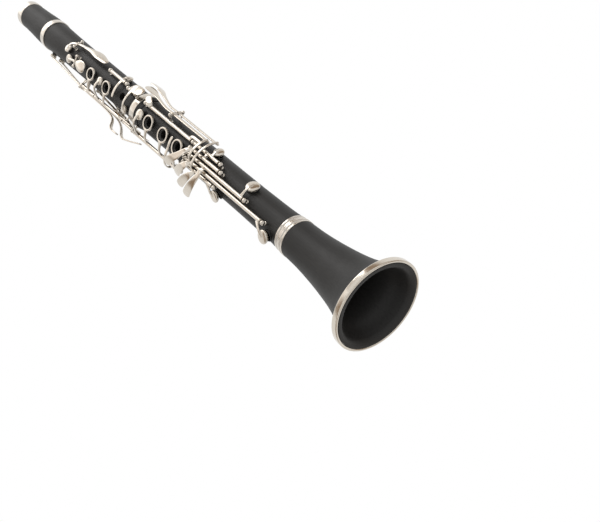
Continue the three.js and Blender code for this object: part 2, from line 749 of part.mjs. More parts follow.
// Arms from a cup or a ring round to the hinge tube
function cupArm(joint, hole, hingeAzimuth, tubeShare) {
  const side = Math.sign(hole.azimuth - hingeAzimuth);
  const near = hingeAzimuth + side * TUBE_END_ANGLE;
  const height = heightOf(joint, hole.share);
  const end = heightOf(joint, tubeShare);
  const start = overCup(joint, hole, CUP_END_SHARE);
  const crown = Math.max(start.radius, joint.axis);
  return bar([
    start,
    { azimuth: (2 * hole.azimuth + near) / 3, radius: crown + ARM_CROWN,
      height: (2 * height + end) / 3, halfWidth: ARM_HALF_WIDTH },
    { azimuth: (hole.azimuth + 2 * near) / 3, radius: crown, height: (height + 2 * end) / 3,
      halfWidth: ARM_HALF_WIDTH },
    { azimuth: near, radius: joint.axis, height: end,
      halfWidth: ARM_HALF_WIDTH * TUBE_END_SHARE },
  ], ARM_HALF_THICKNESS, false);
}

function ringArm(joint, hole, hingeAzimuth, tubeShare) {
  const high = rimRadius(joint, hole) + SEAT_GAP;
  const middle = high - FINGER_RING_HEIGHT / 2;
  const side = Math.sign(hingeAzimuth - hole.azimuth);
  const reach = ringRadius(hole) - FINGER_RING_BAND / 2;
  const from = hole.azimuth + side * THREE.MathUtils.radToDeg(Math.atan2(reach, middle));
  const to = hingeAzimuth - side * TUBE_END_ANGLE;
  const height = heightOf(joint, hole.share);
  const end = heightOf(joint, tubeShare);
  return bar([
    { azimuth: from, radius: Math.hypot(reach, middle), height,
      halfWidth: ARM_HALF_WIDTH * RING_END_SHARE },
    { azimuth: (2 * from + to) / 3, radius: (2 * middle + joint.axis) / 3 + ARM_CROWN,
      height: (2 * height + end) / 3, halfWidth: ARM_HALF_WIDTH },
    { azimuth: (from + 2 * to) / 3, radius: (middle + 2 * joint.axis) / 3 + ARM_CROWN,
      height: (height + 2 * end) / 3, halfWidth: ARM_HALF_WIDTH },
    { azimuth: to, radius: joint.axis, height: end,
      halfWidth: ARM_HALF_WIDTH * TUBE_END_SHARE },
  ], ARM_HALF_THICKNESS, false);
}

// Keys that turn on a rod along the joint.
// An open standing key is made closed, then raised by its lift angle.
// What lies against a neighbour at rest is added after that.
function longKey(joint, azimuth, lowShare, highShare, parts, lift = 0, restParts = []) {
  const place = upright(azimuth, joint.axis);
  const low = heightOf(joint, lowShare);
  const high = heightOf(joint, highShare);
  const tube = plug(TUBE_RADIUS, low, high, TUBE_FACETS, place);
  const bore = plug(TUBE_BORE_RADIUS, low - OVERRUN, high + OVERRUN, TUBE_FACETS, place);
  const key = raised(join([tube, ...parts]), joint, azimuth, lift);
  return join([key, ...restParts]).subtract(bore);
}

function raised(piece, joint, azimuth, lift) {
  if (!lift) return piece;
  const centre = around(azimuth, joint.axis, 0);
  return piece
    .translate([-centre.x, -centre.y, 0])
    .rotate([0, 0, lift])
    .translate([centre.x, centre.y, 0]);
}

// Keys that rock on a rod across the joint
function rockingKey(joint, azimuth, share, rise, offset, halfSpan, parts) {
  const tube = crossTube(joint, azimuth, share, rise, offset - halfSpan, offset + halfSpan,
    TUBE_RADIUS);
  const bore = crossTube(joint, azimuth, share, rise, offset - halfSpan - OVERRUN,
    offset + halfSpan + OVERRUN, TUBE_BORE_RADIUS);
  return join([tube, ...parts]).subtract(bore);
}

// A lever along the joint, from its cup over the pivot to its touch
function rockingLever(joint, hole, shares, halfWidth, roundEnd) {
  const stations = [overCup(joint, hole, 1), ...stationsOf(joint, shares, halfWidth)];
  return bar(stations, ARM_HALF_THICKNESS, roundEnd, LEVER_STEPS);
}

// Hinge lines: azimuths of the rods
const UPPER_RINGS_ANGLE = 58;
const THUMB_RING_ANGLE = 140;
const REGISTER_ANGLE = -170;
const A_KEY_ANGLE = 3;
const G_SHARP_ANGLE = -44;
const UPPER_TRILLS_ANGLE = 79.75;
const LOWER_TRILLS_ANGLE = 109.75;
const TRILL_SPLAY_ANGLE = 4;
const C_SHARP_ANGLE = -38;
const E_FLAT_ANGLE = -45;
const LOWER_RINGS_ANGLE = 62;
const SLIVER_ANGLE = 86;
const LOW_E_ANGLE = 7;
const LOW_F_ANGLE = 21;
const A_FLAT_ANGLE = -7;
const F_SHARP_TOUCH_ANGLE = -21;
const F_SHARP_ANGLE = -37;
const SADDLE_ANGLE = -67;
const SADDLE_SPLAY_ANGLE = 7;

// Hinge stations as shares of the joint, and rises above the hinge line
const REGISTER_PIVOT_SHARE = 0.632;
const REGISTER_RISE_SHARE = 0.1;
const A_KEY_PIVOT_SHARE = 0.592;
const G_SHARP_PIVOT_SHARE = 0.671;
const UPPER_TRILL_PIVOT_SHARE = 0.53;
const LOWER_TRILL_PIVOT_SHARE = 0.224;
const SADDLE_PIVOT_SHARE = 0.796;
const SADDLE_RISE_SHARE = 0.5;
const SMALL_PIVOT_HALF_SPAN = 2.7;
const WIDE_PIVOT_HALF_SPAN = 3.2;
const TRILL_PIVOT_HALF_SPAN = 3.25;
const TRILL_RISE_SHARE = 0.3;
const SADDLE_HALF_SPAN = 5;

// Angles by which the open standing keys are raised at rest
const RING_LIFT_ANGLE = 5;
const LOW_E_LIFT_ANGLE = 13;
const LOW_F_LIFT_ANGLE = 14;
const F_SHARP_LIFT_ANGLE = 13;
const F_SHARP_TOUCH_LIFT_ANGLE = 7;

// Keys of the upper joint

function firstFingerRingKey() {
  const hole = UPPER_HOLES.first;
  return longKey(UPPER_SIDE, UPPER_RINGS_ANGLE, 0.354, 0.484, [
    fingerRing(UPPER, hole),
    ringArm(UPPER_SIDE, hole, UPPER_RINGS_ANGLE, hole.share),
  ], -RING_LIFT_ANGLE);
}

function secondFingerRingKey() {
  const hole = UPPER_HOLES.second;
  const small = UPPER_HOLES.ringPad;
  const tabShares = [[55, 0, 0.078, 1], [47, 0, 0.04, 1], [47, 0, -0.054, 1]];
  return longKey(UPPER_SIDE, UPPER_RINGS_ANGLE, 0.045, 0.348, [
    fingerRing(UPPER, hole),
    ringArm(UPPER_SIDE, hole, UPPER_RINGS_ANGLE, hole.share),
    cup(UPPER, small, false),
    cupArm(UPPER_SIDE, small, UPPER_RINGS_ANGLE, small.share),
    bar(stationsOf(UPPER_SIDE, tabShares, ARM_HALF_WIDTH), TOUCH_HALF_THICKNESS, false),
  ], -RING_LIFT_ANGLE);
}

function thumbRingKey() {
  const hole = UPPER_HOLES.thumb;
  const small = UPPER_HOLES.thumbPad;
  const armShares = [[154, -0.05, 0.49, 1], [153, 0, 0.43, 1], [144, 0, 0.4, 1.2]];
  return longKey(UPPER, THUMB_RING_ANGLE, 0.331, 0.422, [
    fingerRing(UPPER, hole),
    ringArm(UPPER, hole, THUMB_RING_ANGLE, 0.375),
    cup(UPPER, small, false),
    rockingLever(UPPER, small, armShares, ARM_HALF_WIDTH, false),
  ], RING_LIFT_ANGLE);
}

function registerKey() {
  const hole = UPPER_HOLES.register;
  const [at, pivot, rise] = [REGISTER_ANGLE, REGISTER_PIVOT_SHARE, REGISTER_RISE_SHARE];
  const leverShares = [
    [at, rise, pivot, 0.4], [at, 0.24, 0.59, 0.4], [at, 0.3, 0.55, 0.75],
    [at, 0.24, 0.49, 1], [at, 0.1, 0.452, 0.85],
  ];
  return rockingKey(UPPER, at, pivot, rise, 0, PIVOT_HALF_SPAN, [
    cup(UPPER, hole, false),
    rockingLever(UPPER, hole, leverShares, TOUCH_HALF_WIDTH, true),
  ]);
}

function aKey() {
  const hole = UPPER_HOLES.aKey;
  const [at, pivot] = [A_KEY_ANGLE, A_KEY_PIVOT_SHARE];
  const leverShares = [
    [at, 0, pivot, 0.4], [at, 0.3, 0.565, 0.8], [at, 0.36, 0.53, 1.55], [at, 0.3, 0.474, 1.5],
  ];
  return rockingKey(UPPER, at, pivot, 0, 0, PIVOT_HALF_SPAN, [
    cup(UPPER, hole, true),
    rockingLever(UPPER, hole, leverShares, TOUCH_HALF_WIDTH, true),
  ]);
}

function gSharpKey() {
  const hole = UPPER_HOLES.gSharp;
  const [at, pivot] = [G_SHARP_ANGLE, G_SHARP_PIVOT_SHARE];
  const armShares = [[-32, 0, 0.71, 1], [at, 0, pivot, 1], [-50, 0.24, 0.6, 1.1]];
  const leafShares = [
    [-49, 0.2, 0.615, 0.4], [-53, 0.4, 0.54, 1.1], [-55, 0.44, 0.46, 1.25],
    [-54, 0.3, 0.371, 0.9],
  ];
  return rockingKey(UPPER, at, pivot, 0, 0, PIVOT_HALF_SPAN, [
    cup(UPPER, hole, false),
    rockingLever(UPPER, hole, armShares, ARM_HALF_WIDTH, false),
    touch(UPPER, leafShares),
  ]);
}

// Stations of the trill levers below their pivots: rise, share of the joint, share of width
const FIRST_TRILL_SHARES = [[0.6, 0.2, 1.2], [2.5, 0.13, 1.6], [2.65, 0.055, 1.5]];
const SECOND_TRILL_SHARES = [[0.5, 0.15, 1], [2.6, 0.05, 1.3], [2.5, 0, 1.5], [1.2, -0.12, 1.3]];
const SHORT_TRILL_SHARES = [[0.6, 0.17, 1], [1.1, 0.12, 1.2], [1.2, 0.02, 1.2]];

function trillKey(hole, pivotAzimuth, side, pivot, touchShares) {
  const at = pivotAzimuth + side * TRILL_SPLAY_ANGLE;
  const radius = UPPER_SIDE.axis + TRILL_RISE_SHARE * RISE;
  const offset = radius * Math.tan(THREE.MathUtils.degToRad(side * TRILL_SPLAY_ANGLE));
  const leverShares = [
    [at, TRILL_RISE_SHARE, pivot, 1],
    ...touchShares.map(([rise, height, wide]) => [at, rise, height, wide]),
  ];
  return rockingKey(UPPER_SIDE, pivotAzimuth, pivot, TRILL_RISE_SHARE, offset, PIVOT_HALF_SPAN, [
    cup(UPPER, hole, false),
    rockingLever(UPPER_SIDE, hole, leverShares, TRILL_HALF_WIDTH, true),
  ]);
}

function cSharpKey() {
  const hole = UPPER_HOLES.cSharp;
  const paddleShares = [
    [-37, 0.15, 0.05, 0.6], [-40, 0.7, 0.045, 1.2], [-44, 0.96, 0.012, 1.5],
    [-46, 0.95, -0.05, 1.35],
  ];
  return longKey(UPPER, C_SHARP_ANGLE, 0.034, 0.074, [
    cup(UPPER, hole, false),
    cupArm(UPPER, hole, C_SHARP_ANGLE, 0.053),
    touch(UPPER, paddleShares),
  ]);
}

function eFlatSliverKey() {
  const hole = UPPER_HOLES.eFlat;
  const leverShares = [
    [-41, 0, 0.173, 1], [-24, -0.14, 0.173, 1], [-4, -0.24, 0.173, 1], [17, -0.24, 0.173, 1],
  ];
  return longKey(UPPER, E_FLAT_ANGLE, 0.142, 0.289, [
    cup(UPPER, hole, false),
    cupArm(UPPER, hole, E_FLAT_ANGLE, hole.share),
    bar(stationsOf(UPPER, leverShares, LEVER_HALF_WIDTH), TOUCH_HALF_THICKNESS, true),
  ]);
}

// Keys of the lower joint

function lowerRingStack() {
  const small = LOWER_HOLES.stackPad;
  const holes = [LOWER_HOLES.fourth, LOWER_HOLES.fifth, LOWER_HOLES.sixth];
  const tabShares = [[57, 0.1, 0.947, 1], [47, 0.22, 0.966, 1], [47, 0.22, 1.028, 1]];
  return longKey(LOWER_SIDE, LOWER_RINGS_ANGLE, 0.652, 0.976, [
    ...holes.map((hole) => fingerRing(LOWER, hole)),
    ...holes.map((hole) => ringArm(LOWER_SIDE, hole, LOWER_RINGS_ANGLE, hole.share)),
    cup(LOWER, small, false),
    cupArm(LOWER_SIDE, small, LOWER_RINGS_ANGLE, small.share),
    bar(stationsOf(LOWER_SIDE, tabShares, ARM_HALF_WIDTH), TOUCH_HALF_THICKNESS, false),
  ], -RING_LIFT_ANGLE);
}

function lowerSliverKey() {
  const hole = LOWER_HOLES.sliver;
  const leverShares = [
    [82, 0.1, 0.712, 1], [74, 0.7, 0.712, 1], [61, 0.72, 0.712, 1], [46, 0.15, 0.712, 1],
    [25, -0.62, 0.712, 1], [5, -0.74, 0.712, 1], [-14, -0.74, 0.712, 1],
  ];
  return longKey(LOWER_SIDE, SLIVER_ANGLE, 0.673, 0.752, [
    cup(LOWER, hole, false),
    cupArm(LOWER_SIDE, hole, SLIVER_ANGLE, hole.share),
    bar(stationsOf(LOWER_SIDE, leverShares, LEVER_HALF_WIDTH), TOUCH_HALF_THICKNESS, true),
  ]);
}

function lowEKey() {
  const hole = LOWER_HOLES.lowE;
  const plateShares = [
    [8, 0.3, 0.541, 0.5], [16, 0.76, 0.55, 0.8], [38, 0.76, 0.585, 1.2],
    [60, 0.68, 0.61, 1.15],
  ];
  const armShares = [[4, 0.2, 0.552, 1.2], [-8, 0.85, 0.552, 1], [-34, 0.9, 0.552, 1],
    [-60, 0.9, 0.552, 1]];
  return longKey(LOWER, LOW_E_ANGLE, 0.084, 0.582, [
    cup(LOWER, hole, true),
    cupArm(LOWER, hole, LOW_E_ANGLE, 0.1),
    touch(LOWER, plateShares),
  ], LOW_E_LIFT_ANGLE, [arm(LOWER, armShares)]);
}

function lowFKey() {
  const hole = LOWER_HOLES.lowF;
  const plateShares = [
    [22, 0.3, 0.505, 0.5], [30, 0.8, 0.512, 0.75], [48, 1.15, 0.54, 1.15],
    [69, 1.7, 0.572, 1.15],
  ];
  const armShares = [
    [18, 0.2, 0.519, 1.2], [8, 0.85, 0.519, 1], [-20, 0.9, 0.519, 1], [-48, 0.9, 0.519, 1],
    [-74, 0.9, 0.519, 1],
  ];
  return longKey(LOWER, LOW_F_ANGLE, 0.391, 0.58, [
    cup(LOWER, hole, true),
    cupArm(LOWER, hole, LOW_F_ANGLE, 0.422),
    touch(LOWER, plateShares),
  ], LOW_F_LIFT_ANGLE, [arm(LOWER, armShares)]);
}

function aFlatKey() {
  const hole = LOWER_HOLES.aFlat;
  const plateShares = [
    [-6, 0.3, 0.457, 0.5], [4, 0.9, 0.459, 0.7], [20, 1.1, 0.465, 0.8],
    [42, 1.9, 0.485, 1.1], [66, 2.95, 0.516, 1.15],
  ];
  return longKey(LOWER, A_FLAT_ANGLE, 0.213, 0.58, [
    cup(LOWER, hole, true),
    cupArm(LOWER, hole, A_FLAT_ANGLE, hole.share),
    touch(LOWER, plateShares),
  ]);
}

function fSharpPadKey() {
  const hole = LOWER_HOLES.fSharp;
  const fingerShares = [[-37, 0.36, 0.488, 1], [-33, 0.6, 0.488, 1], [-27, 0.66, 0.488, 1]];
  const nubShares = [[-40, 0.1, 0.571, 1.4], [-44, 0.2, 0.571, 1.4], [-47, 0.22, 0.571, 1.4]];
  return longKey(LOWER, F_SHARP_ANGLE, 0.424, 0.588, [
    cup(LOWER, hole, true),
    cupArm(LOWER, hole, F_SHARP_ANGLE, hole.share),
    bar(stationsOf(LOWER, fingerShares, ARM_HALF_WIDTH), TOUCH_HALF_THICKNESS, false),
    bar(stationsOf(LOWER, nubShares, ARM_HALF_WIDTH), TOUCH_HALF_THICKNESS, false),
  ], -F_SHARP_LIFT_ANGLE);
}

function fSharpTouchLever() {
  const plateShares = [
    [-20, 0.32, 0.565, 0.5], [-11, 0.74, 0.58, 0.65], [12, 0.85, 0.61, 0.9],
    [32, 1.05, 0.648, 1.15], [45, 1.2, 0.666, 1.1],
  ];
  const fingerShares = [[-23, 0.24, 0.488, 1], [-26, 0.28, 0.488, 1], [-30, 0.28, 0.488, 1]];
  return longKey(LOWER, F_SHARP_TOUCH_ANGLE, 0.391, 0.58, [
    touch(LOWER, plateShares),
    bar(stationsOf(LOWER, fingerShares, ARM_HALF_WIDTH), TOUCH_HALF_THICKNESS, false),
  ], F_SHARP_TOUCH_LIFT_ANGLE);
}

function leftFSharpLever() {
  const paddleShares = [
    [-37, 0.36, 0.914, 0.5], [-41, 0.6, 0.926, 0.75], [-47, 0.66, 0.946, 0.85],
    [-53, 0.66, 0.962, 0.85],
  ];
  const fingerShares = [[-40, 0.2, 0.63, 1], [-45, 0.54, 0.612, 1], [-46, 0.54, 0.563, 1]];
  return longKey(LOWER, F_SHARP_ANGLE, 0.616, 0.946, [
    touch(LOWER, paddleShares),
    bar(stationsOf(LOWER, fingerShares, ARM_HALF_WIDTH), TOUCH_HALF_THICKNESS, false),
  ], -F_SHARP_LIFT_ANGLE);
}

function leftLever(side, paddleAzimuth, paddleRise, endShare, topShare) {
  const at = SADDLE_ANGLE + side * SADDLE_SPLAY_ANGLE;
  const radius = LOWER.axis + SADDLE_RISE_SHARE * RISE;
  const offset = radius * Math.tan(THREE.MathUtils.degToRad(side * SADDLE_SPLAY_ANGLE));
  const leverShares = [
    [at, SADDLE_RISE_SHARE, endShare, 0.4],
    [at, SADDLE_RISE_SHARE, SADDLE_PIVOT_SHARE, 0.42],
    [at, SADDLE_RISE_SHARE, 0.86, 0.4],
    [(at + paddleAzimuth) / 2, SADDLE_RISE_SHARE + paddleRise / 2, 0.93, 0.5],
    [paddleAzimuth, SADDLE_RISE_SHARE + paddleRise, 0.995, 1.15],
    [paddleAzimuth, SADDLE_RISE_SHARE + paddleRise, topShare, 1.15],
  ];
  return rockingKey(LOWER, SADDLE_ANGLE, SADDLE_PIVOT_SHARE, SADDLE_RISE_SHARE, offset,
    PIVOT_HALF_SPAN, [touch(LOWER, leverShares)]);
}

// Every piece: name, solid and finish
const pieces = [
  ['bell', bell(), GRENADILLA],
  ['bell_rim_ring', bellRimRing(), SILVER],
  ['bell_socket_ring', socketRing(BELL_LENGTH, BELL_TOP - SEAT_GAP, BELL_RING_RADIUS), SILVER],
  ['bell_tenon_cork', tenonCork(BELL_TOP, -1), CORK],
  ['lower_joint', lowerJoint(), GRENADILLA],
  ['lower_end_ring', socketRing(BELL_TOP, LOWER_BASE, LOWER_END_RING_RADIUS), SILVER],
  ['middle_ring', socketRing(LOWER_TOP, UPPER_BASE - SEAT_GAP, MIDDLE_RING_RADIUS), SILVER],
  ['middle_tenon_cork', tenonCork(UPPER_BASE, -1), CORK],
  ['upper_joint', upperJoint(), GRENADILLA],
  ['barrel_tenon_cork', tenonCork(UPPER_TOP, 1), CORK],
  ['barrel_socket_ring', socketRing(UPPER_TOP + SEAT_GAP, BARREL_BASE, BARREL_RING_RADIUS),
    SILVER],
  ['barrel', barrel(), GRENADILLA],
  ['barrel_top_ring', socketRing(BARREL_TOP, TOTAL_LENGTH, BARREL_TOP_RING_RADIUS), SILVER],
  ['register_tube', registerTube(), SILVER],
  ['thumb_bushing', thumbBushing(), SILVER],
  ['thumb_rest', thumbRest(), SILVER],

  ['upper_ring_rod', longRod(UPPER_SIDE, UPPER_RINGS_ANGLE, [0.028, 0.501]), SILVER],
  ['thumb_ring_rod', longRod(UPPER, THUMB_RING_ANGLE, [0.313, 0.441]), SILVER],
  ['register_pivot', crossRod(UPPER, REGISTER_ANGLE, REGISTER_PIVOT_SHARE, REGISTER_RISE_SHARE,
    SMALL_PIVOT_HALF_SPAN), SILVER],
  ['a_key_pivot', crossRod(UPPER, A_KEY_ANGLE, A_KEY_PIVOT_SHARE, 0, WIDE_PIVOT_HALF_SPAN),
    SILVER],
  ['g_sharp_pivot', crossRod(UPPER, G_SHARP_ANGLE, G_SHARP_PIVOT_SHARE, 0,
    SMALL_PIVOT_HALF_SPAN), SILVER],
  ['upper_trill_pivot', crossRod(UPPER_SIDE, UPPER_TRILLS_ANGLE, UPPER_TRILL_PIVOT_SHARE,
    TRILL_RISE_SHARE, TRILL_PIVOT_HALF_SPAN), SILVER],
  ['lower_trill_pivot', crossRod(UPPER_SIDE, LOWER_TRILLS_ANGLE, LOWER_TRILL_PIVOT_SHARE,
    TRILL_RISE_SHARE, TRILL_PIVOT_HALF_SPAN), SILVER],
  ['c_sharp_rod', longRod(UPPER, C_SHARP_ANGLE, [0.018, 0.09]), SILVER],
  ['e_flat_rod', longRod(UPPER, E_FLAT_ANGLE, [0.126, 0.305]), SILVER],
  ['lower_ring_rod', longRod(LOWER_SIDE, LOWER_RINGS_ANGLE, [0.64, 0.988]), SILVER],
  ['sliver_rod', longRod(LOWER_SIDE, SLIVER_ANGLE, [0.661, 0.764]), SILVER],
  ['low_e_rod', longRod(LOWER, LOW_E_ANGLE, [0.072, 0.594]), SILVER],
  ['low_f_rod', longRod(LOWER, LOW_F_ANGLE, [0.379, 0.592]), SILVER],
  ['a_flat_rod', longRod(LOWER, A_FLAT_ANGLE, [0.201, 0.592]), SILVER],
  ['f_sharp_touch_rod', longRod(LOWER, F_SHARP_TOUCH_ANGLE, [0.379, 0.592]), SILVER],
  ['f_sharp_rod', longRod(LOWER, F_SHARP_ANGLE, [0.412, 0.602, 0.959]), SILVER],
  ['lever_saddle', crossRod(LOWER, SADDLE_ANGLE, SADDLE_PIVOT_SHARE, SADDLE_RISE_SHARE,
    SADDLE_HALF_SPAN), SILVER],

  ['first_finger_ring_key', firstFingerRingKey(), SILVER],
  ['second_finger_ring_key', secondFingerRingKey(), SILVER],
  ['thumb_ring_key', thumbRingKey(), SILVER],
  ['register_key', registerKey(), SILVER],
  ['a_key', aKey(), SILVER],
  ['a_key_pad', pad(UPPER, UPPER_HOLES.aKey), LEATHER],
  ['g_sharp_key', gSharpKey(), SILVER],
  ['first_trill_key', trillKey(UPPER_HOLES.firstTrill, UPPER_TRILLS_ANGLE, -1,
    UPPER_TRILL_PIVOT_SHARE, FIRST_TRILL_SHARES), SILVER],
  ['second_trill_key', trillKey(UPPER_HOLES.secondTrill, UPPER_TRILLS_ANGLE, 1,
    UPPER_TRILL_PIVOT_SHARE, SECOND_TRILL_SHARES), SILVER],
  ['third_trill_key', trillKey(UPPER_HOLES.thirdTrill, LOWER_TRILLS_ANGLE, -1,
    LOWER_TRILL_PIVOT_SHARE, SHORT_TRILL_SHARES), SILVER],
  ['fourth_trill_key', trillKey(UPPER_HOLES.fourthTrill, LOWER_TRILLS_ANGLE, 1,
    LOWER_TRILL_PIVOT_SHARE, SHORT_TRILL_SHARES), SILVER],
  ['c_sharp_key', cSharpKey(), SILVER],
  ['e_flat_sliver_key', eFlatSliverKey(), SILVER],
  ['lower_ring_stack', lowerRingStack(), SILVER],
  ['lower_sliver_key', lowerSliverKey(), SILVER],
  ['low_e_key', lowEKey(), SILVER],
  ['low_e_pad', raised(pad(LOWER, LOWER_HOLES.lowE), LOWER, LOW_E_ANGLE, LOW_E_LIFT_ANGLE), LEATHER],
  ['low_f_key', lowFKey(), SILVER],
  ['low_f_pad', raised(pad(LOWER, LOWER_HOLES.lowF), LOWER, LOW_F_ANGLE, LOW_F_LIFT_ANGLE), LEATHER],
  ['a_flat_key', aFlatKey(), SILVER],
  ['a_flat_pad', pad(LOWER, LOWER_HOLES.aFlat), LEATHER],
  ['f_sharp_pad_key', fSharpPadKey(), SILVER],
  ['f_sharp_leather_pad', raised(pad(LOWER, LOWER_HOLES.fSharp), LOWER, F_SHARP_ANGLE,
    -F_SHARP_LIFT_ANGLE), LEATHER],
  ['f_sharp_touch_lever', fSharpTouchLever(), SILVER],
  ['left_f_sharp_lever', leftFSharpLever(), SILVER],
  ['left_e_lever', leftLever(1, -72, 0.3, 0.546, 1.04), SILVER],
  ['left_f_lever', leftLever(-1, -91, 0.7, 0.513, 1.06), SILVER],
];

function meshOf(name, piece, finish) {
  const { vertProperties, triVerts } = piece.simplify(FLATNESS).getMesh();
  const geometry = new THREE.BufferGeometry();
  geometry.setAttribute('position', new THREE.BufferAttribute(vertProperties, 3));
  geometry.setIndex(new THREE.BufferAttribute(triVerts, 1));
  const flat = geometry.toNonIndexed();
  flat.computeVertexNormals();
  const mesh = new THREE.Mesh(flat, new THREE.MeshStandardMaterial(finish));
  mesh.name = name;
  return mesh;
}

const clarinet = new THREE.Group();
clarinet.name = 'soprano_clarinet';
pieces.forEach(([name, piece, finish]) => clarinet.add(meshOf(name, piece, finish)));

export default clarinet;
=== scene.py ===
"""Looks of a B flat soprano clarinet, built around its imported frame.

Sizes in the classes and tables are millimetres and are turned into metres when a mesh is made,
but for the floor and the lamps, whose sizes and places are metres.
+Z runs up the bore from the bell mouth, the finger rings face -Y, and the player's right hand
side is -X. Azimuths are degrees round the bore, 0 at the front, growing to the player's right.
"""

import logging
import math
from dataclasses import dataclass, field, replace
from enum import Enum

import bpy
import numpy as np
from mathutils import Matrix

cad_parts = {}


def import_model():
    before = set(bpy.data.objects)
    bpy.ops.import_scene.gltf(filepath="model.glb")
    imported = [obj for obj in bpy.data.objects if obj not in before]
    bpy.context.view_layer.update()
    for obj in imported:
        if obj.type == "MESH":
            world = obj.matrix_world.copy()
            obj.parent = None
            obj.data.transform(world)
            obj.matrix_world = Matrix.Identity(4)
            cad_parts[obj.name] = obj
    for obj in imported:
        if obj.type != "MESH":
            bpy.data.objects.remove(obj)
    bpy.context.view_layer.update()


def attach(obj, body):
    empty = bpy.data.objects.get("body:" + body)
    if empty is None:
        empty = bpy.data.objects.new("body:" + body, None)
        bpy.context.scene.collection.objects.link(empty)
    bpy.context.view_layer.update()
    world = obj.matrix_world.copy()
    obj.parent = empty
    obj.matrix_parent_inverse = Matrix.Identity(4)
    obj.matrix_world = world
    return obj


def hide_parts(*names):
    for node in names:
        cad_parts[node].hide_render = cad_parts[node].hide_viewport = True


LOG = logging.getLogger("clarinet")
MM = 0.001
BODY = "instrument_body"

BAR_STEPS = 8
BAR_POINTS = 20
BAR_SQUARENESS = 3.2
BAR_START = 0.1
BAR_START_PLACES = (0.0, 0.4)
BAR_START_SHARES = (0.55, 0.9)
TIP_POINTS = 9
TIP_TURN = 0.97
TIP_THINNING = 0.35
SHARP_ANGLE = math.radians(38.0)
CUT_SHARP_ANGLE = math.radians(32.0)

SEAT_GAP = 0.15
RING_WALL = 1.5
CHIMNEY_WALL = 0.9
BELL_TOP = 101.0
LOWER_SHOULDER = 106.0
LOWER_FOOT = 111.0
LOWER_HEAD = 338.5
UPPER_FOOT = 346.5
UPPER_HEAD = 523.0
BARREL_FOOT = 530.0
BARREL_HEAD = 579.0
BARREL_TOP = 587.0

RINGS = {
    "bell_socket_ring": (BELL_TOP, LOWER_SHOULDER - SEAT_GAP, 17.8),
    "lower_end_ring": (LOWER_SHOULDER, LOWER_FOOT, 17.3),
    "middle_ring": (LOWER_HEAD, UPPER_FOOT - SEAT_GAP, 16.8),
    "barrel_socket_ring": (UPPER_HEAD + SEAT_GAP, BARREL_FOOT, 16.3),
    "barrel_top_ring": (BARREL_HEAD, BARREL_TOP, 14.2),
}


class Rim(Enum):
    """How the rim of a tone hole stands on the wood."""

    RING = 2.8
    PAD = 1.0
    TUBE = 2.0
    FLUSH = 0.0


class Turning(Enum):
    """How many flats a turned surface is made with."""

    FINE = 24
    SMALL = 32
    ROUND = 48
    BODY = 128


# Surfaces


@dataclass
class Surface:
    """A closed surface: points, four-sided faces and three-sided faces."""

    points: np.ndarray
    quads: np.ndarray
    tris: np.ndarray

    def moved(self, matrix: np.ndarray) -> "Surface":
        """The surface carried by a 4x4 matrix: each point times its turn, plus its shift."""
        points = self.points @ matrix[:3, :3].T + matrix[:3, 3]
        return Surface(points, self.quads, self.tris)

    def outward(self) -> "Surface":
        """The surface with its faces turned so that its signed volume is positive."""
        fans = np.concatenate([self.quads[:, [0, 1, 2]], self.quads[:, [0, 2, 3]], self.tris])
        a, b, c = (self.points[fans[:, i]] for i in range(3))
        if np.einsum("ij,ij->", a, np.cross(b, c)) >= 0:
            return self
        return Surface(self.points, self.quads[:, ::-1], self.tris[:, ::-1])


def around(azimuth: np.ndarray, radius: np.ndarray, height: np.ndarray) -> np.ndarray:
    """Points round the bore: minus radius times the azimuth's sine and cosine, and the height."""
    angle = np.radians(azimuth)
    parts = np.broadcast_arrays(-radius * np.sin(angle), -radius * np.cos(angle), height)
    return np.stack(parts, axis=-1).astype(float)


def unit(vectors: np.ndarray) -> np.ndarray:
    """Vectors divided by their own lengths."""
    return vectors / np.linalg.norm(vectors, axis=-1, keepdims=True)


def placement(place: np.ndarray, direction: np.ndarray, across: np.ndarray) -> np.ndarray:
    """The matrix that lays local z along direction and local x along across, at a place."""
    up, side = unit(direction), unit(across)
    matrix = np.eye(4)
    matrix[:3, :3] = np.stack([side, np.cross(up, side), up], axis=1)
    matrix[:3, 3] = place
    return matrix


def seat_on(azimuth: float, radius: float, height: float) -> np.ndarray:
    """The placement whose local z points straight away from the bore."""
    place = around(azimuth, radius, height)
    return placement(place, around(azimuth, 1.0, 0.0), around(azimuth + 90.0, 1.0, 0.0))


def hinge_line(azimuth: float, radius: float) -> np.ndarray:
    """The matrix that moves the local z axis to a line along the bore."""
    matrix = np.eye(4)
    matrix[:3, 3] = around(azimuth, radius, 0.0)
    return matrix


def shift_z(distance: float) -> np.ndarray:
    """The matrix that moves along local z."""
    matrix = np.eye(4)
    matrix[2, 3] = distance
    return matrix


def grid_faces(rows: int, columns: int, wrap_rows: bool) -> np.ndarray:
    """Faces of a grid that closes on itself across its columns, and along its rows on request."""
    r = np.arange(rows if wrap_rows else rows - 1)[:, None]
    c = np.arange(columns)[None, :]
    here, there = r * columns, ((r + 1) % rows) * columns
    nxt = (c + 1) % columns
    return np.stack([here + c, here + nxt, there + nxt, there + c], axis=-1).reshape(-1, 4)


def end_fans(columns: int, count: int) -> np.ndarray:
    """Triangles from two added points to a grid's first row and to its last.

    Args:
        columns: The points in a row.
        count: The points in the grid, after which the two added points follow.

    Returns:
        The triangles of both ends.
    """
    low = np.arange(columns)
    high = low + count - columns
    return np.concatenate([
        np.stack([np.full_like(low, count), np.roll(low, -1), low], axis=1),
        np.stack([np.full_like(low, count + 1), high, np.roll(high, -1)], axis=1)])


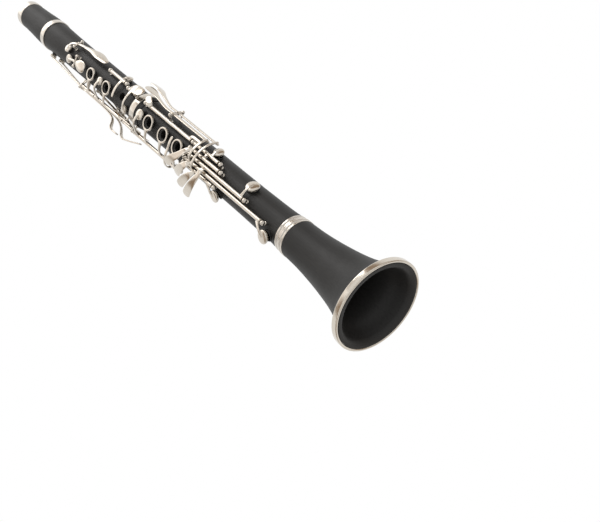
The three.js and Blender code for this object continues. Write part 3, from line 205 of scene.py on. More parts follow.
def closed_tube(rows: np.ndarray) -> Surface:
    """Rows of points round a line, closed by a fan from the mean of each end's row."""
    points = np.concatenate([rows.reshape(-1, 3), [rows[0].mean(0), rows[-1].mean(0)]])
    count, columns = rows.shape[:2]
    fans = end_fans(columns, count * columns)
    return Surface(points, grid_faces(count, columns, False), fans).outward()


def revolve(profile: np.ndarray, turning: Turning, matrix: np.ndarray | None = None) -> Surface:
    """A profile turned about local z.

    Point (i, j) is the profile's radius i times the cosine and sine of angle j, at its height i.
    A profile that starts or ends on the axis gets one pole point there, and one whose last
    point is its first closes into a ring.

    Args:
        profile: Rows of radius and height.
        turning: The number of flats.
        matrix: Where the turned surface is placed.

    Returns:
        The closed surface.
    """
    profile = np.asarray(profile, float)
    ring = bool(np.allclose(profile[0], profile[-1]))
    poles = [] if ring else [profile[0, 1], profile[-1, 1]]
    body = profile[:-1] if ring else profile[1:-1]
    angle = np.linspace(0.0, 2.0 * np.pi, turning.value, endpoint=False)
    radius, height = body[:, 0:1], body[:, 1:2]
    points = np.stack(np.broadcast_arrays(
        radius * np.cos(angle), radius * np.sin(angle), height), axis=-1).reshape(-1, 3)
    quads = grid_faces(len(body), turning.value, ring)
    tris = np.zeros((0, 3), int)
    if poles:
        count = len(points)
        points = np.concatenate([points, [[0, 0, poles[0]], [0, 0, poles[1]]]])
        tris = end_fans(turning.value, count)
    surface = Surface(points, quads, tris).outward()
    return surface if matrix is None else surface.moved(matrix)


def rounded(outline: list[tuple[float, float]], radius: float, steps: int = 3) -> np.ndarray:
    """An outline with each inner corner cut by a short curve.

    Each corner is replaced by points of the quadratic curve from a point on the side before it
    to one on the side after it, both at the radius or at 0.4 of the shorter side.

    Args:
        outline: Corner points of radius and height.
        radius: How far from the corner its curve starts.
        steps: How many points less one each curve has.

    Returns:
        The rounded outline, with its first and last points kept.
    """
    corners = np.asarray(outline, float)
    ring = bool(np.allclose(corners[0], corners[-1]))
    before, here, after = corners[:-2], corners[1:-1], corners[2:]
    if ring:
        here = corners[:-1]
        before, after = np.roll(here, 1, axis=0), np.roll(here, -1, axis=0)
    back, ahead = before - here, after - here
    lengths = [np.linalg.norm(side, axis=1, keepdims=True) for side in (back, ahead)]
    reach = np.minimum(radius, 0.4 * np.minimum(*lengths))
    start = here + back / np.maximum(lengths[0], 1e-9) * reach
    end = here + ahead / np.maximum(lengths[1], 1e-9) * reach
    t = np.linspace(0.0, 1.0, steps + 1)[None, :, None]
    curve = (1 - t) ** 2 * start[:, None] + 2 * t * (1 - t) * here[:, None] + t**2 * end[:, None]
    curve = curve.reshape(-1, 2)
    if ring:
        return np.concatenate([curve, curve[:1]])
    return np.concatenate([corners[:1], curve, corners[-1:]])


def route(points: np.ndarray, share: np.ndarray) -> np.ndarray:
    """A smooth curve through rows of numbers.

    Between two rows it is the cubic whose slope at each row is half the step from the row
    before to the row after, and the end rows are carried on straight.

    Args:
        points: One row for each station.
        share: Where to read the curve, 0 at the first station and 1 at the last.

    Returns:
        One row for each share.
    """
    first, last = 2 * points[0] - points[1], 2 * points[-1] - points[-2]
    rows = np.concatenate([[first], points, [last]])
    spans = len(points) - 1
    at = np.clip(share, 0.0, 1.0) * spans
    near = np.minimum(at.astype(int), spans - 1)
    t = (at - near)[:, None]
    p0, p1, p2, p3 = (rows[near + i] for i in range(4))
    return 0.5 * (2 * p1 + (p2 - p0) * t + (2 * p0 - 5 * p1 + 4 * p2 - p3) * t**2
                  + (3 * p1 - p0 - 3 * p2 + p3) * t**3)


def section(count: int, squareness: float) -> np.ndarray:
    """A rounded flat section: signed powers, 2 over squareness, of the cosine and sine."""
    angle = np.linspace(0.0, 2.0 * np.pi, count, endpoint=False)
    c, s = np.cos(angle), np.sin(angle)
    power = 2.0 / squareness
    return np.stack([np.sign(c) * np.abs(c) ** power, np.sign(s) * np.abs(s) ** power], axis=1)


def sweep(stations: np.ndarray, thickness: float, round_end: bool, crown: float = 0.0) -> Surface:
    """A flat bar bent round the bore, made by carrying a rounded section along a curve.

    The middle line runs smoothly through the stations in azimuth, radius and height. At each
    step the section lies across the line and square to the bore, stretched by the half width
    and the half thickness. A round end narrows both as the cosine of a turn to nearly a right
    angle, the thickness far less, and the first end is rounded by two smaller sections.

    Args:
        stations: Rows of azimuth, radius, height and half width.
        thickness: Half the bar's thickness.
        round_end: Whether the last end is round in plan.
        crown: How much of the half thickness the edges droop.

    Returns:
        The closed surface.
    """
    spans = len(stations) - 1
    share = np.linspace(0.0, 1.0, BAR_STEPS * spans + 1)
    width = route(stations[:, 3:], share)[:, 0]
    thick = np.full_like(share, thickness)
    if round_end:
        ends = around(stations[-2:, 0], stations[-2:, 1], stations[-2:, 2])
        run = np.linalg.norm(ends[1] - ends[0]) * spans
        start = max(1.0 - stations[-1, 3] / run, share[-6])
        kept = share[share < start - 1e-6]
        turn = np.linspace(0.0, 0.5 * np.pi * TIP_TURN, TIP_POINTS)
        share = np.concatenate([kept, start + (1.0 - start) * np.sin(turn)])
        narrowing = np.concatenate([np.ones(len(kept)), np.cos(turn)])
        width = route(stations[:, 3:], share)[:, 0] * narrowing
        thick = thickness * narrowing**TIP_THINNING
    lead = share[1] * BAR_START
    share = np.concatenate([lead * np.array(BAR_START_PLACES), share + (share == 0) * lead])
    width = np.concatenate([width[0] * np.array(BAR_START_SHARES), width])
    thick = np.concatenate([thick[0] * np.array(BAR_START_SHARES), thick])
    line = route(stations[:, :3], share)
    behind = route(stations[:, :3], np.maximum(share - 0.01, 0.0))
    ahead = route(stations[:, :3], np.minimum(share + 0.01, 1.0))
    centre = around(*line.T)
    along = around(*ahead.T) - around(*behind.T)
    across = unit(np.cross(along, around(line[:, 0], 1.0, 0.0)))
    up = unit(np.cross(across, along))
    shape = section(BAR_POINTS, BAR_SQUARENESS)
    droop = crown * (shape[:, 0] ** 2)
    rows = (centre[:, None]
            + across[:, None] * (shape[None, :, 0:1] * width[:, None, None])
            + up[:, None] * ((shape[None, :, 1:2] - droop[None, :, None]) * thick[:, None, None]))
    return closed_tube(rows)


def ball_outline(centre: float, radius: float, start: float, steps: int = 9) -> np.ndarray:
    """Points of a circle about a centre on the axis, from a start angle up to the top."""
    angle = np.linspace(start, 0.5 * np.pi, steps)
    return np.stack([radius * np.cos(angle), centre + radius * np.sin(angle)], axis=1)


# Meshes


def mesh_of(name: str, surfaces: list[Surface]) -> bpy.types.Mesh:
    """One mesh from several closed surfaces, in metres, smooth but for its sharp edges.

    Args:
        name: The mesh's name.
        surfaces: The surfaces, in millimetres.

    Returns:
        The mesh.
    """
    starts = np.cumsum([0] + [len(s.points) for s in surfaces])
    points = np.concatenate([s.points for s in surfaces]) * MM
    quads = np.concatenate([s.quads + at for s, at in zip(surfaces, starts)])
    tris = np.concatenate([s.tris + at for s, at in zip(surfaces, starts)])
    corners = np.concatenate([quads.ravel(), tris.ravel()]).astype(np.int32)
    sizes = np.concatenate([np.full(len(quads), 4), np.full(len(tris), 3)]).astype(np.int32)
    mesh = bpy.data.meshes.new(name)
    mesh.vertices.add(len(points))
    mesh.vertices.foreach_set("co", points.astype(np.float32).ravel())
    mesh.loops.add(len(corners))
    mesh.loops.foreach_set("vertex_index", corners)
    mesh.polygons.add(len(sizes))
    mesh.polygons.foreach_set("loop_start", np.concatenate([[0], np.cumsum(sizes)[:-1]]))
    mesh.update(calc_edges=True)
    mesh.shade_smooth()
    mesh.set_sharp_from_angle(angle=SHARP_ANGLE)
    return mesh


def add_piece(name: str, surfaces: list[Surface], finish: "Finish", body: str,
              *nodes: str) -> bpy.types.Object:
    """Makes a piece, dresses it and lets it ride on its body.

    Args:
        name: The piece's name.
        surfaces: Its closed surfaces, in millimetres.
        finish: What it is made of.
        body: The body that it moves with.
        nodes: The frame's nodes that it stands for.

    Returns:
        The object.
    """
    piece = bpy.data.objects.new(name, mesh_of(name, surfaces))
    bpy.context.scene.collection.objects.link(piece)
    dress(piece, finish)
    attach(piece, body)
    if nodes:
        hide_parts(*nodes)
    LOG.info("%s: %d faces on %s", name, len(piece.data.polygons), body)
    return piece


def dress(piece: bpy.types.Object, finish: "Finish") -> None:
    """Gives a piece its finish's material."""
    piece.data.materials.clear()
    piece.data.materials.append(finish.material())


def cut(piece: bpy.types.Object, added: list[Surface], taken: list[Surface]) -> None:
    """Joins some surfaces to a piece's mesh, takes others out of it, and keeps the result."""
    for surfaces, operation in ((added, "UNION"), (taken, "DIFFERENCE")):
        if not surfaces:
            continue
        tool = bpy.data.objects.new("cutting_tool", mesh_of("cutting_tool", surfaces))
        bpy.context.scene.collection.objects.link(tool)
        boolean = piece.modifiers.new("cut", "BOOLEAN")
        boolean.object, boolean.operation, boolean.solver = tool, operation, "MANIFOLD"
        evaluated = piece.evaluated_get(bpy.context.evaluated_depsgraph_get())
        mesh = bpy.data.meshes.new_from_object(evaluated)
        piece.modifiers.clear()
        piece.data = mesh
        bpy.data.objects.remove(tool)
    piece.data.shade_smooth()
    piece.data.set_sharp_from_angle(angle=CUT_SHARP_ANGLE)


# Finishes


def node_group(name: str, inputs: dict[str, float], outputs: dict[str, str]
               ) -> tuple[bpy.types.NodeTree, bpy.types.Node, bpy.types.Node]:
    """An empty shader node group with number inputs and the given outputs.

    Args:
        name: The group's name.
        inputs: Each input's name and default.
        outputs: Each output's name and socket type.

    Returns:
        The group and its input and output nodes.
    """
    group = bpy.data.node_groups.new(name, "ShaderNodeTree")
    group.interface.new_socket("Place", in_out="INPUT", socket_type="NodeSocketVector")
    for label, value in inputs.items():
        socket = group.interface.new_socket(label, in_out="INPUT", socket_type="NodeSocketFloat")
        socket.default_value = value
    for label, kind in outputs.items():
        group.interface.new_socket(label, in_out="OUTPUT", socket_type=kind)
    return group, group.nodes.new("NodeGroupInput"), group.nodes.new("NodeGroupOutput")


def ramp(tree: bpy.types.NodeTree, value: bpy.types.NodeSocket, low: float, high: float,
         start: float, end: float) -> bpy.types.NodeSocket:
    """A Map Range node: value from low to high becomes start to end, and no further."""
    node = tree.nodes.new("ShaderNodeMapRange")
    for index, number in zip(range(1, 5), (low, high, start, end)):
        node.inputs[index].default_value = number
    tree.links.new(value, node.inputs[0])
    return node.outputs[0]


def stretched_noise(tree: bpy.types.NodeTree, place: bpy.types.NodeSocket,
                    scale: tuple[float, float, float], detail: float) -> bpy.types.NodeSocket:
    """Noise read on coordinates stretched by a scale along each axis."""
    mapping = tree.nodes.new("ShaderNodeMapping")
    mapping.inputs["Scale"].default_value = scale
    noise = tree.nodes.new("ShaderNodeTexNoise")
    noise.inputs["Scale"].default_value = 1.0
    noise.inputs["Detail"].default_value = detail
    tree.links.new(place, mapping.inputs["Vector"])
    tree.links.new(mapping.outputs["Vector"], noise.inputs["Vector"])
    return noise.outputs["Fac"]


def handling_group() -> bpy.types.NodeTree:
    """Soft cloudy patches, as hands and a cloth leave them: one mask from 0 to 1."""
    found = bpy.data.node_groups.get("handling_marks")
    if found:
        return found
    group, given, out = node_group("handling_marks", {"Scale": 60.0}, {"Mask": "NodeSocketFloat"})
    scaled = group.nodes.new("ShaderNodeVectorMath")
    scaled.operation = "SCALE"
    group.links.new(given.outputs["Place"], scaled.inputs[0])
    group.links.new(given.outputs["Scale"], scaled.inputs["Scale"])
    cloud = stretched_noise(group, scaled.outputs[0], (1.0, 1.0, 1.0), 3.0)
    group.links.new(ramp(group, cloud, 0.35, 0.7, 0.0, 1.0), out.inputs["Mask"])
    return group


@dataclass(frozen=True)
class Finish:
    """What a piece is made of. Colours are linear."""

    name: str
    slot: str
    colour: tuple[float, float, float]
    roughness: float
    metallic: float = 0.0
    patch_roughness: float = 0.06
    patch_shade: float = 0.04
    patch_scale: float = 60.0
    grain_scale: tuple[float, float, float] = (0.0, 0.0, 0.0)
    grain_shade: float = 0.0
    grain_height: float = 0.0
    coat: float = 0.0
    specular: float = 0.5

    def material(self) -> bpy.types.Material:
        """The finish's material, made at its first use."""
        found = bpy.data.materials.get(self.name)
        return found if found else self.make()

    def make(self) -> bpy.types.Material:
        """Builds the nodes: marks of handling and a grain over a plain colour.

        Returns:
            The new material.
        """
        material = bpy.data.materials.new(self.name)
        material.use_nodes = True
        tree = material.node_tree
        shader = tree.nodes["Principled BSDF"]
        place = tree.nodes.new("ShaderNodeTexCoord").outputs["Object"]
        marks = tree.nodes.new("ShaderNodeGroup")
        marks.node_tree = handling_group()
        marks.inputs["Scale"].default_value = self.patch_scale
        tree.links.new(place, marks.inputs["Place"])
        mask = marks.outputs["Mask"]
        rough = ramp(tree, mask, 0.0, 1.0, self.roughness, self.roughness + self.patch_roughness)
        tree.links.new(rough, shader.inputs["Roughness"])
        colour = self.tinted(tree, mask, (*self.colour, 1.0), self.patch_shade)
        if any(self.grain_scale):
            grain = stretched_noise(tree, place, self.grain_scale, 4.0)
            fine = ramp(tree, grain, 0.42, 0.66, 0.0, 1.0)
            colour = self.tinted(tree, fine, colour, self.grain_shade)
            bump = tree.nodes.new("ShaderNodeBump")
            bump.inputs["Distance"].default_value = self.grain_height * MM
            bump.inputs["Strength"].default_value = 1.0
            tree.links.new(grain, bump.inputs["Height"])
            tree.links.new(bump.outputs["Normal"], shader.inputs["Normal"])
        tree.links.new(colour, shader.inputs["Base Color"])
        shader.inputs["Metallic"].default_value = self.metallic
        shader.inputs["Coat Weight"].default_value = self.coat
        shader.inputs["Specular IOR Level"].default_value = self.specular
        return material

    def tinted(self, tree: bpy.types.NodeTree, mask: bpy.types.NodeSocket,
               colour: "tuple | bpy.types.NodeSocket", shade: float) -> bpy.types.NodeSocket:
        """The colour, darkened by a share where the mask is 1."""
        mix = tree.nodes.new("ShaderNodeMix")
        mix.data_type, mix.blend_type = "RGBA", "MULTIPLY"
        tree.links.new(mask, mix.inputs["Factor"])
        if isinstance(colour, tuple):
            mix.inputs["A"].default_value = colour
        else:
            tree.links.new(colour, mix.inputs["A"])
        mix.inputs["B"].default_value = (1.0 - shade, 1.0 - shade, 1.0 - shade, 1.0)
        return mix.outputs["Result"]


WOOD = Finish("matte_grenadilla", "grenadilla", (0.020, 0.019, 0.018), 0.48,
              patch_roughness=0.07, patch_shade=0.15, patch_scale=25.0,
              grain_scale=(900.0, 900.0, 22.0), grain_shade=0.35, grain_height=0.03,
              specular=0.32)
PLATE = Finish("polished_nickel", "nickel", (0.68, 0.63, 0.56), 0.15, metallic=1.0,
               patch_roughness=0.08, patch_shade=0.05, patch_scale=90.0)
TURNED = Finish("turned_nickel_ring", "nickel", (0.69, 0.645, 0.585), 0.2, metallic=1.0,
                patch_roughness=0.06, patch_scale=70.0,
                grain_scale=(40.0, 40.0, 3200.0), grain_shade=0.05, grain_height=0.01)
SPRING = Finish("tempered_spring_steel", "nickel", (0.40, 0.28, 0.17), 0.3, metallic=1.0,
                patch_roughness=0.1, patch_shade=0.2, patch_scale=180.0)
LEATHER = Finish("pad_leather_cream", "pad_leather", (0.72, 0.64, 0.50), 0.62,
                 patch_shade=0.12, patch_scale=220.0,
                 grain_scale=(1400.0, 1400.0, 1400.0), grain_shade=0.12, grain_height=0.03)
CORK = Finish("tenon_cork_brown", "cork", (0.42, 0.24, 0.11), 0.85, patch_shade=0.3,
              patch_scale=500.0, grain_scale=(900.0, 900.0, 900.0), grain_shade=0.4,
              grain_height=0.08)


# The two joints


@dataclass(frozen=True)
class Joint:
    """A turned joint of the body, with the line on which its long hinges lie."""

    base: float
    length: float
    radius: float
    outline: tuple[tuple[float, float], ...]
    hinge_height: float = 4.4
    rise: float = 5.0

    @property
    def axis(self) -> float:
        """Radius of the long hinges."""
        return self.radius + self.hinge_height

    def height(self, share: float) -> float:
        """Height of a share of the joint."""
        return self.base + share * self.length

    def radius_at(self, height: float) -> float:
        """Radius of the wood at a height, on straight lines between the outline's points."""
        radii, heights = np.array(self.outline).T
        return float(np.interp(height, heights, radii))

    def pivot(self, azimuth: float, share: float, rise: float) -> np.ndarray:
        """The placement of a rocking key's pivot: local z lies across the bore."""
        place = around(azimuth, self.axis + rise * self.rise, self.height(share))
        return placement(place, around(azimuth + 90.0, 1.0, 0.0), around(azimuth, 1.0, 0.0))

    def stations(self, table: tuple, width: float) -> np.ndarray:
        """Rows of azimuth, rise share, height share and width share, made into real sizes."""
        rows = np.array(table, float)
        return np.stack([rows[:, 0], self.axis + rows[:, 1] * self.rise,
                         self.base + rows[:, 2] * self.length, rows[:, 3] * width], axis=1)


def flared(shares: tuple, base: float, length: float, radius: float, foot: float,
           head: float) -> tuple:
    """Outline points: the radius plus shares of the foot's and the head's flare."""
    return tuple((radius + s[1] * foot + s[2] * head, base + s[0] * length) for s in shares)


LOWER_SIZE = (LOWER_FOOT, LOWER_HEAD - LOWER_FOOT, 15.1)
LOWER = Joint(*LOWER_SIZE, flared(
    ((0, 1, 0), (0.06, 0.52, 0), (0.17, 0.22, 0), (0.34, 0, 0), (0.93, 0, 0),
     (0.975, 0, 0.4), (1, 0, 1)), *LOWER_SIZE, 1.8, 1.3))
UPPER_SIZE = (UPPER_FOOT, UPPER_HEAD - UPPER_FOOT, 14.4)
UPPER = Joint(*UPPER_SIZE, flared(
    ((0, 0.3, 0), (0.04, 0, 0), (0.6, 0, 0.05), (0.8, 0, 0.3), (0.92, 0, 0.7), (1, 0, 1)),
    *UPPER_SIZE, 1.1, 1.1))
LOWER_SIDE = replace(LOWER, hinge_height=7.0)
UPPER_SIDE = replace(UPPER, hinge_height=7.0)

TRILL_TURN = 4.0
TRILL_RISE = 0.3
TRILL_WIDTH = 1.36
UPPER_TRILLS = (79.75, 0.53)
LOWER_TRILLS = (109.75, 0.224)
SADDLE_AZIMUTH = -67
SADDLE_SHARE = 0.796
SADDLE_RISE = 0.5
SADDLE_TURN = 7.0


@dataclass(frozen=True)
class Hole:
    """A tone hole: its azimuth, its share of the joint, its radius and its rim."""

    azimuth: float
    share: float
    radius: float
    rim: Rim = Rim.PAD
    joint: Joint = UPPER

    @property
    def height(self) -> float:
        """Height of the hole's middle."""
        return self.joint.height(self.share)

    @property
    def top(self) -> float:
        """Radius from the bore's axis to the hole's rim."""
        return self.joint.radius_at(self.height) + self.rim.value

    def at(self, radius: float = 0.0) -> np.ndarray:
        """The placement on the hole's own line, at a radius from the bore's axis."""
        return seat_on(self.azimuth, radius, self.height)


def lower(azimuth: float, share: float, radius: float, rim: Rim = Rim.PAD) -> Hole:
    """A tone hole of the lower joint."""
    return Hole(azimuth, share, radius, rim, LOWER)


HOLES = {
    "c_sharp": Hole(24, 0.044, 2.4), "third": Hole(-4, 0.114, 3.8, Rim.FLUSH),
    "e_flat": Hole(-70, 0.18, 2.4), "second": Hole(4, 0.245, 3.5, Rim.RING),
    "ring_pad": Hole(-2, 0.311, 2.4), "thumb": Hole(180, 0.394, 3.8, Rim.RING),
    "first": Hole(2, 0.419, 3.0, Rim.RING), "fourth_trill": Hole(120, 0.382, 1.9),
    "third_trill": Hole(104, 0.45, 1.9), "thumb_pad": Hole(156, 0.537, 2.4),
    "a_key": Hole(12, 0.668, 2.8), "g_sharp": Hole(-14, 0.716, 2.4),
    "second_trill": Hole(96, 0.875, 1.9), "register": Hole(-170, 0.745, 1.5, Rim.TUBE),
    "first_trill": Hole(77, 0.925, 1.9), "low_e": lower(36, 0.046, 4.6),
    "a_flat": lower(-50, 0.227, 4.6), "low_f": lower(47, 0.374, 4.0),
    "f_sharp": lower(-62, 0.477, 3.5), "sixth": lower(0, 0.6585, 4.0, Rim.RING),
    "sliver": lower(110, 0.712, 2.4), "fifth": lower(0, 0.766, 4.0, Rim.RING),
    "fourth": lower(0, 0.8765, 4.0, Rim.RING), "stack_pad": lower(-4, 0.941, 3.5),
}


@dataclass
class WoodenBody:
    """Bell, two joints and barrel, with their tone holes cut."""

    bore: float = 7.3
    tenon: float = 11.2
    tenon_length: float = 16.0
    groove: float = 0.9
    cork_length: float = 9.0
    gap: float = 0.3
    neck: float = 17.4
    bell_wall: float = 3.0
    bell_mouth: float = 38.45
    mouth_socket: tuple = (11.0, 570.0)
    liner_room: float = 0.85
    cutter_start: float = 0.5
    chamfer: float = 0.3
    chimney_edge: float = 0.25
    lip: tuple = ((31.4, 6.0), (32.6, 3.2), (34.2, 1.0), (36.0, 0.0))
    flare: tuple = ((0.056, 1.0), (0.12, 0.725), (0.2, 0.55), (0.3, 0.405), (0.44, 0.27),
                    (0.62, 0.14), (0.82, 0.04), (1.0, 0.0))

    def smooth(self, outline: tuple, steps: int = 6) -> list:
        """An outline's points with smooth curves between them."""
        points = np.array(outline, float)
        share = np.linspace(0.0, 1.0, steps * (len(points) - 1) + 1)
        return [tuple(row) for row in route(points, share)]

    def tenon_outline(self, shoulder: float, way: int) -> list:
        """A tenon with its cork groove, from its shoulder to its end."""
        margin = (self.tenon_length - self.cork_length) / 2
        inner = self.tenon - self.groove
        steps = ((self.tenon, 0.0), (self.tenon, margin), (inner, margin),
                 (inner, margin + self.cork_length), (self.tenon, margin + self.cork_length),
                 (self.tenon, self.tenon_length), (self.bore, self.tenon_length))
        return [(radius, shoulder + way * along) for radius, along in steps]

    def under(self, ring: str) -> float:
        """Radius of the wood under a ring."""
        return RINGS[ring][2] - RING_WALL - SEAT_GAP

    def bell(self) -> bpy.types.Object:
        """The bell: the flare outside, a rounded lip and flare inside, and the joint's socket."""
        flare = self.bell_mouth - self.neck
        outer = self.smooth(tuple((self.neck + w * flare, h * BELL_TOP) for h, w in self.flare))
        throat = self.tenon + self.gap - self.groove
        floor = LOWER_SHOULDER - self.tenon_length - self.gap
        inner = self.smooth((*self.lip[::-1], *(
            (max(self.neck + w * flare - self.bell_wall * (2 - w), throat), h * BELL_TOP)
            for h, w in self.flare[1:] if h * BELL_TOP < floor)))
        socket, seat = self.tenon + self.gap, self.under("bell_socket_ring")
        top = LOWER_SHOULDER - SEAT_GAP
        points = [(self.bell_mouth, 0.0), *outer, (seat, BELL_TOP), (seat, top), (socket, top),
                  (socket, floor), (throat, floor), *inner[::-1], (self.bell_mouth, 0.0)]
        return add_piece("bell_wood", [revolve(points, Turning.BODY)], WOOD, BODY, "bell")

    def lower_joint(self) -> bpy.types.Object:
        """The lower joint: tenon, flared foot, straight run and the socket under its ring."""
        floor = UPPER_FOOT - self.tenon_length - self.gap
        foot, head = self.under("lower_end_ring"), self.under("middle_ring")
        socket, top = self.tenon + self.gap, UPPER_FOOT - SEAT_GAP
        points = [*self.tenon_outline(LOWER_SHOULDER, -1)[::-1], (foot, LOWER_SHOULDER),
                  (foot, LOWER_FOOT), *self.smooth(LOWER.outline, 5), (head, LOWER_HEAD),
                  (head, top), (socket, top), (socket, floor), (self.bore, floor),
                  (self.bore, LOWER_SHOULDER - self.tenon_length)]
        piece = add_piece("lower_joint_wood", [revolve(points, Turning.BODY)], WOOD, BODY,
                          "lower_joint")
        self.drill(piece, LOWER)
        return piece

    def upper_joint(self) -> bpy.types.Object:
        """The upper joint: a tenon at each end of a slightly flared run."""
        points = [*self.tenon_outline(UPPER_FOOT, -1)[::-1], *self.smooth(UPPER.outline, 5),
                  *self.tenon_outline(UPPER_HEAD, 1), (self.bore, UPPER_FOOT - self.tenon_length)]
        piece = add_piece("upper_joint_wood", [revolve(points, Turning.BODY)], WOOD, BODY,
                          "upper_joint")
        self.drill(piece, UPPER)
        return piece

    def drill(self, piece: bpy.types.Object, joint: Joint) -> None:
        """Raises the chimneys on a joint's wood and bores its tone holes.

        Each cutter starts inside the bore, so near its wall that no two cutters meet.
        """
        chimneys, bores = [], []
        for name, hole in HOLES.items():
            if hole.joint is not joint:
                continue
            if hole.rim in (Rim.RING, Rim.PAD):
                wide, low = hole.radius + CHIMNEY_WALL, joint.radius - 1.0
                chimneys.append(revolve(
                    [(0, low), (wide, low), (wide, hole.top - self.chimney_edge),
                     (wide - self.chimney_edge, hole.top), (0, hole.top)],
                    Turning.SMALL, hole.at()))
            lined = self.liner_room if hole.rim is Rim.TUBE or name == "thumb" else 0.0
            radius = hole.radius + lined
            low = math.sqrt(self.bore**2 - radius**2) - self.cutter_start
            wide, high = radius + self.chamfer, hole.top + 2
            bores.append(revolve(
                [(0, low), (radius, low), (radius, hole.top - self.chamfer),
                 (wide, hole.top + 0.02), (wide, high), (0, high)], Turning.SMALL, hole.at()))
        cut(piece, chimneys, bores)

    def barrel(self) -> bpy.types.Object:
        """The barrel: waisted wood with the tenon's socket below and the mouthpiece's above."""
        foot, head = self.under("barrel_socket_ring"), self.under("barrel_top_ring")
        waist = self.smooth(((15.9, BARREL_FOOT), (15.69, 540.78), (14.598, 559.4),
                             (13.8, BARREL_HEAD)))
        socket, low = self.tenon + self.gap, UPPER_HEAD + SEAT_GAP
        floor, top = UPPER_HEAD + self.tenon_length + self.gap, BARREL_TOP - 0.4
        mouth, step = self.mouth_socket
        points = [(socket, low), (foot, low), (foot, BARREL_FOOT), *waist, (head, BARREL_HEAD),
                  (head, top), (mouth, top), (mouth, step), (self.bore, step),
                  (self.bore, floor), (socket, floor), (socket, low)]
        return add_piece("barrel_wood", [revolve(points, Turning.BODY)], WOOD, BODY, "barrel")

    def corks(self) -> None:
        """The cork in each tenon's groove."""
        for name, shoulder, way in (("bell", LOWER_SHOULDER, -1), ("middle", UPPER_FOOT, -1),
                                    ("barrel", UPPER_HEAD, 1)):
            margin = (self.tenon_length - self.cork_length) / 2 + SEAT_GAP
            near, far = shoulder + way * margin, shoulder + way * (self.tenon_length - margin)
            inner = self.tenon - self.groove + SEAT_GAP
            outer = self.tenon + SEAT_GAP
            points = [(inner, near), (outer, near), (outer, far), (inner, far), (inner, near)]
            add_piece(f"{name}_cork", [revolve(rounded(points, 0.2), Turning.BODY)], CORK, BODY,
                      f"{name}_tenon_cork")

    def build(self) -> None:
        """Builds every wooden piece and its cork."""
        self.bell()
        self.lower_joint()
        self.upper_joint()
        self.barrel()
        self.corks()


@dataclass
class MetalRings:
    """Rings on the ends of the wood, and the ring round the bell's rim."""

    edge: float = 0.45
    groove: float = 0.7
    beaded: tuple = ("bell_socket_ring", "lower_end_ring")
    rim: tuple = (38.6, 41.0, 5.5)
    rim_edge: float = 1.6

    def build(self) -> None:
        """Rings with rounded edges, grooved between two beads where named, and the rim ring."""
        for name, (low, high, radius) in RINGS.items():
            inner, middle = radius - RING_WALL, (low + high) / 2
            beads = [(radius, low), (radius, high)]
            if name in self.beaded:
                beads[1:1] = [(radius, middle - self.groove), (radius - self.groove, middle),
                              (radius, middle + self.groove)]
            points = rounded([(inner, low), *beads, (inner, high), (inner, low)], self.edge, 5)
            add_piece(f"{name}_metal", [revolve(points, Turning.BODY)], TURNED, BODY, name)
        inner, outer, high = self.rim
        points = rounded([(inner, 0.0), (outer, 0.0), (outer, high), (inner, high),
                          (inner, 0.0)], self.rim_edge, 8)
        add_piece("bell_rim_metal", [revolve(points, Turning.BODY)], PLATE, BODY,
                  "bell_rim_ring")


# Hinges


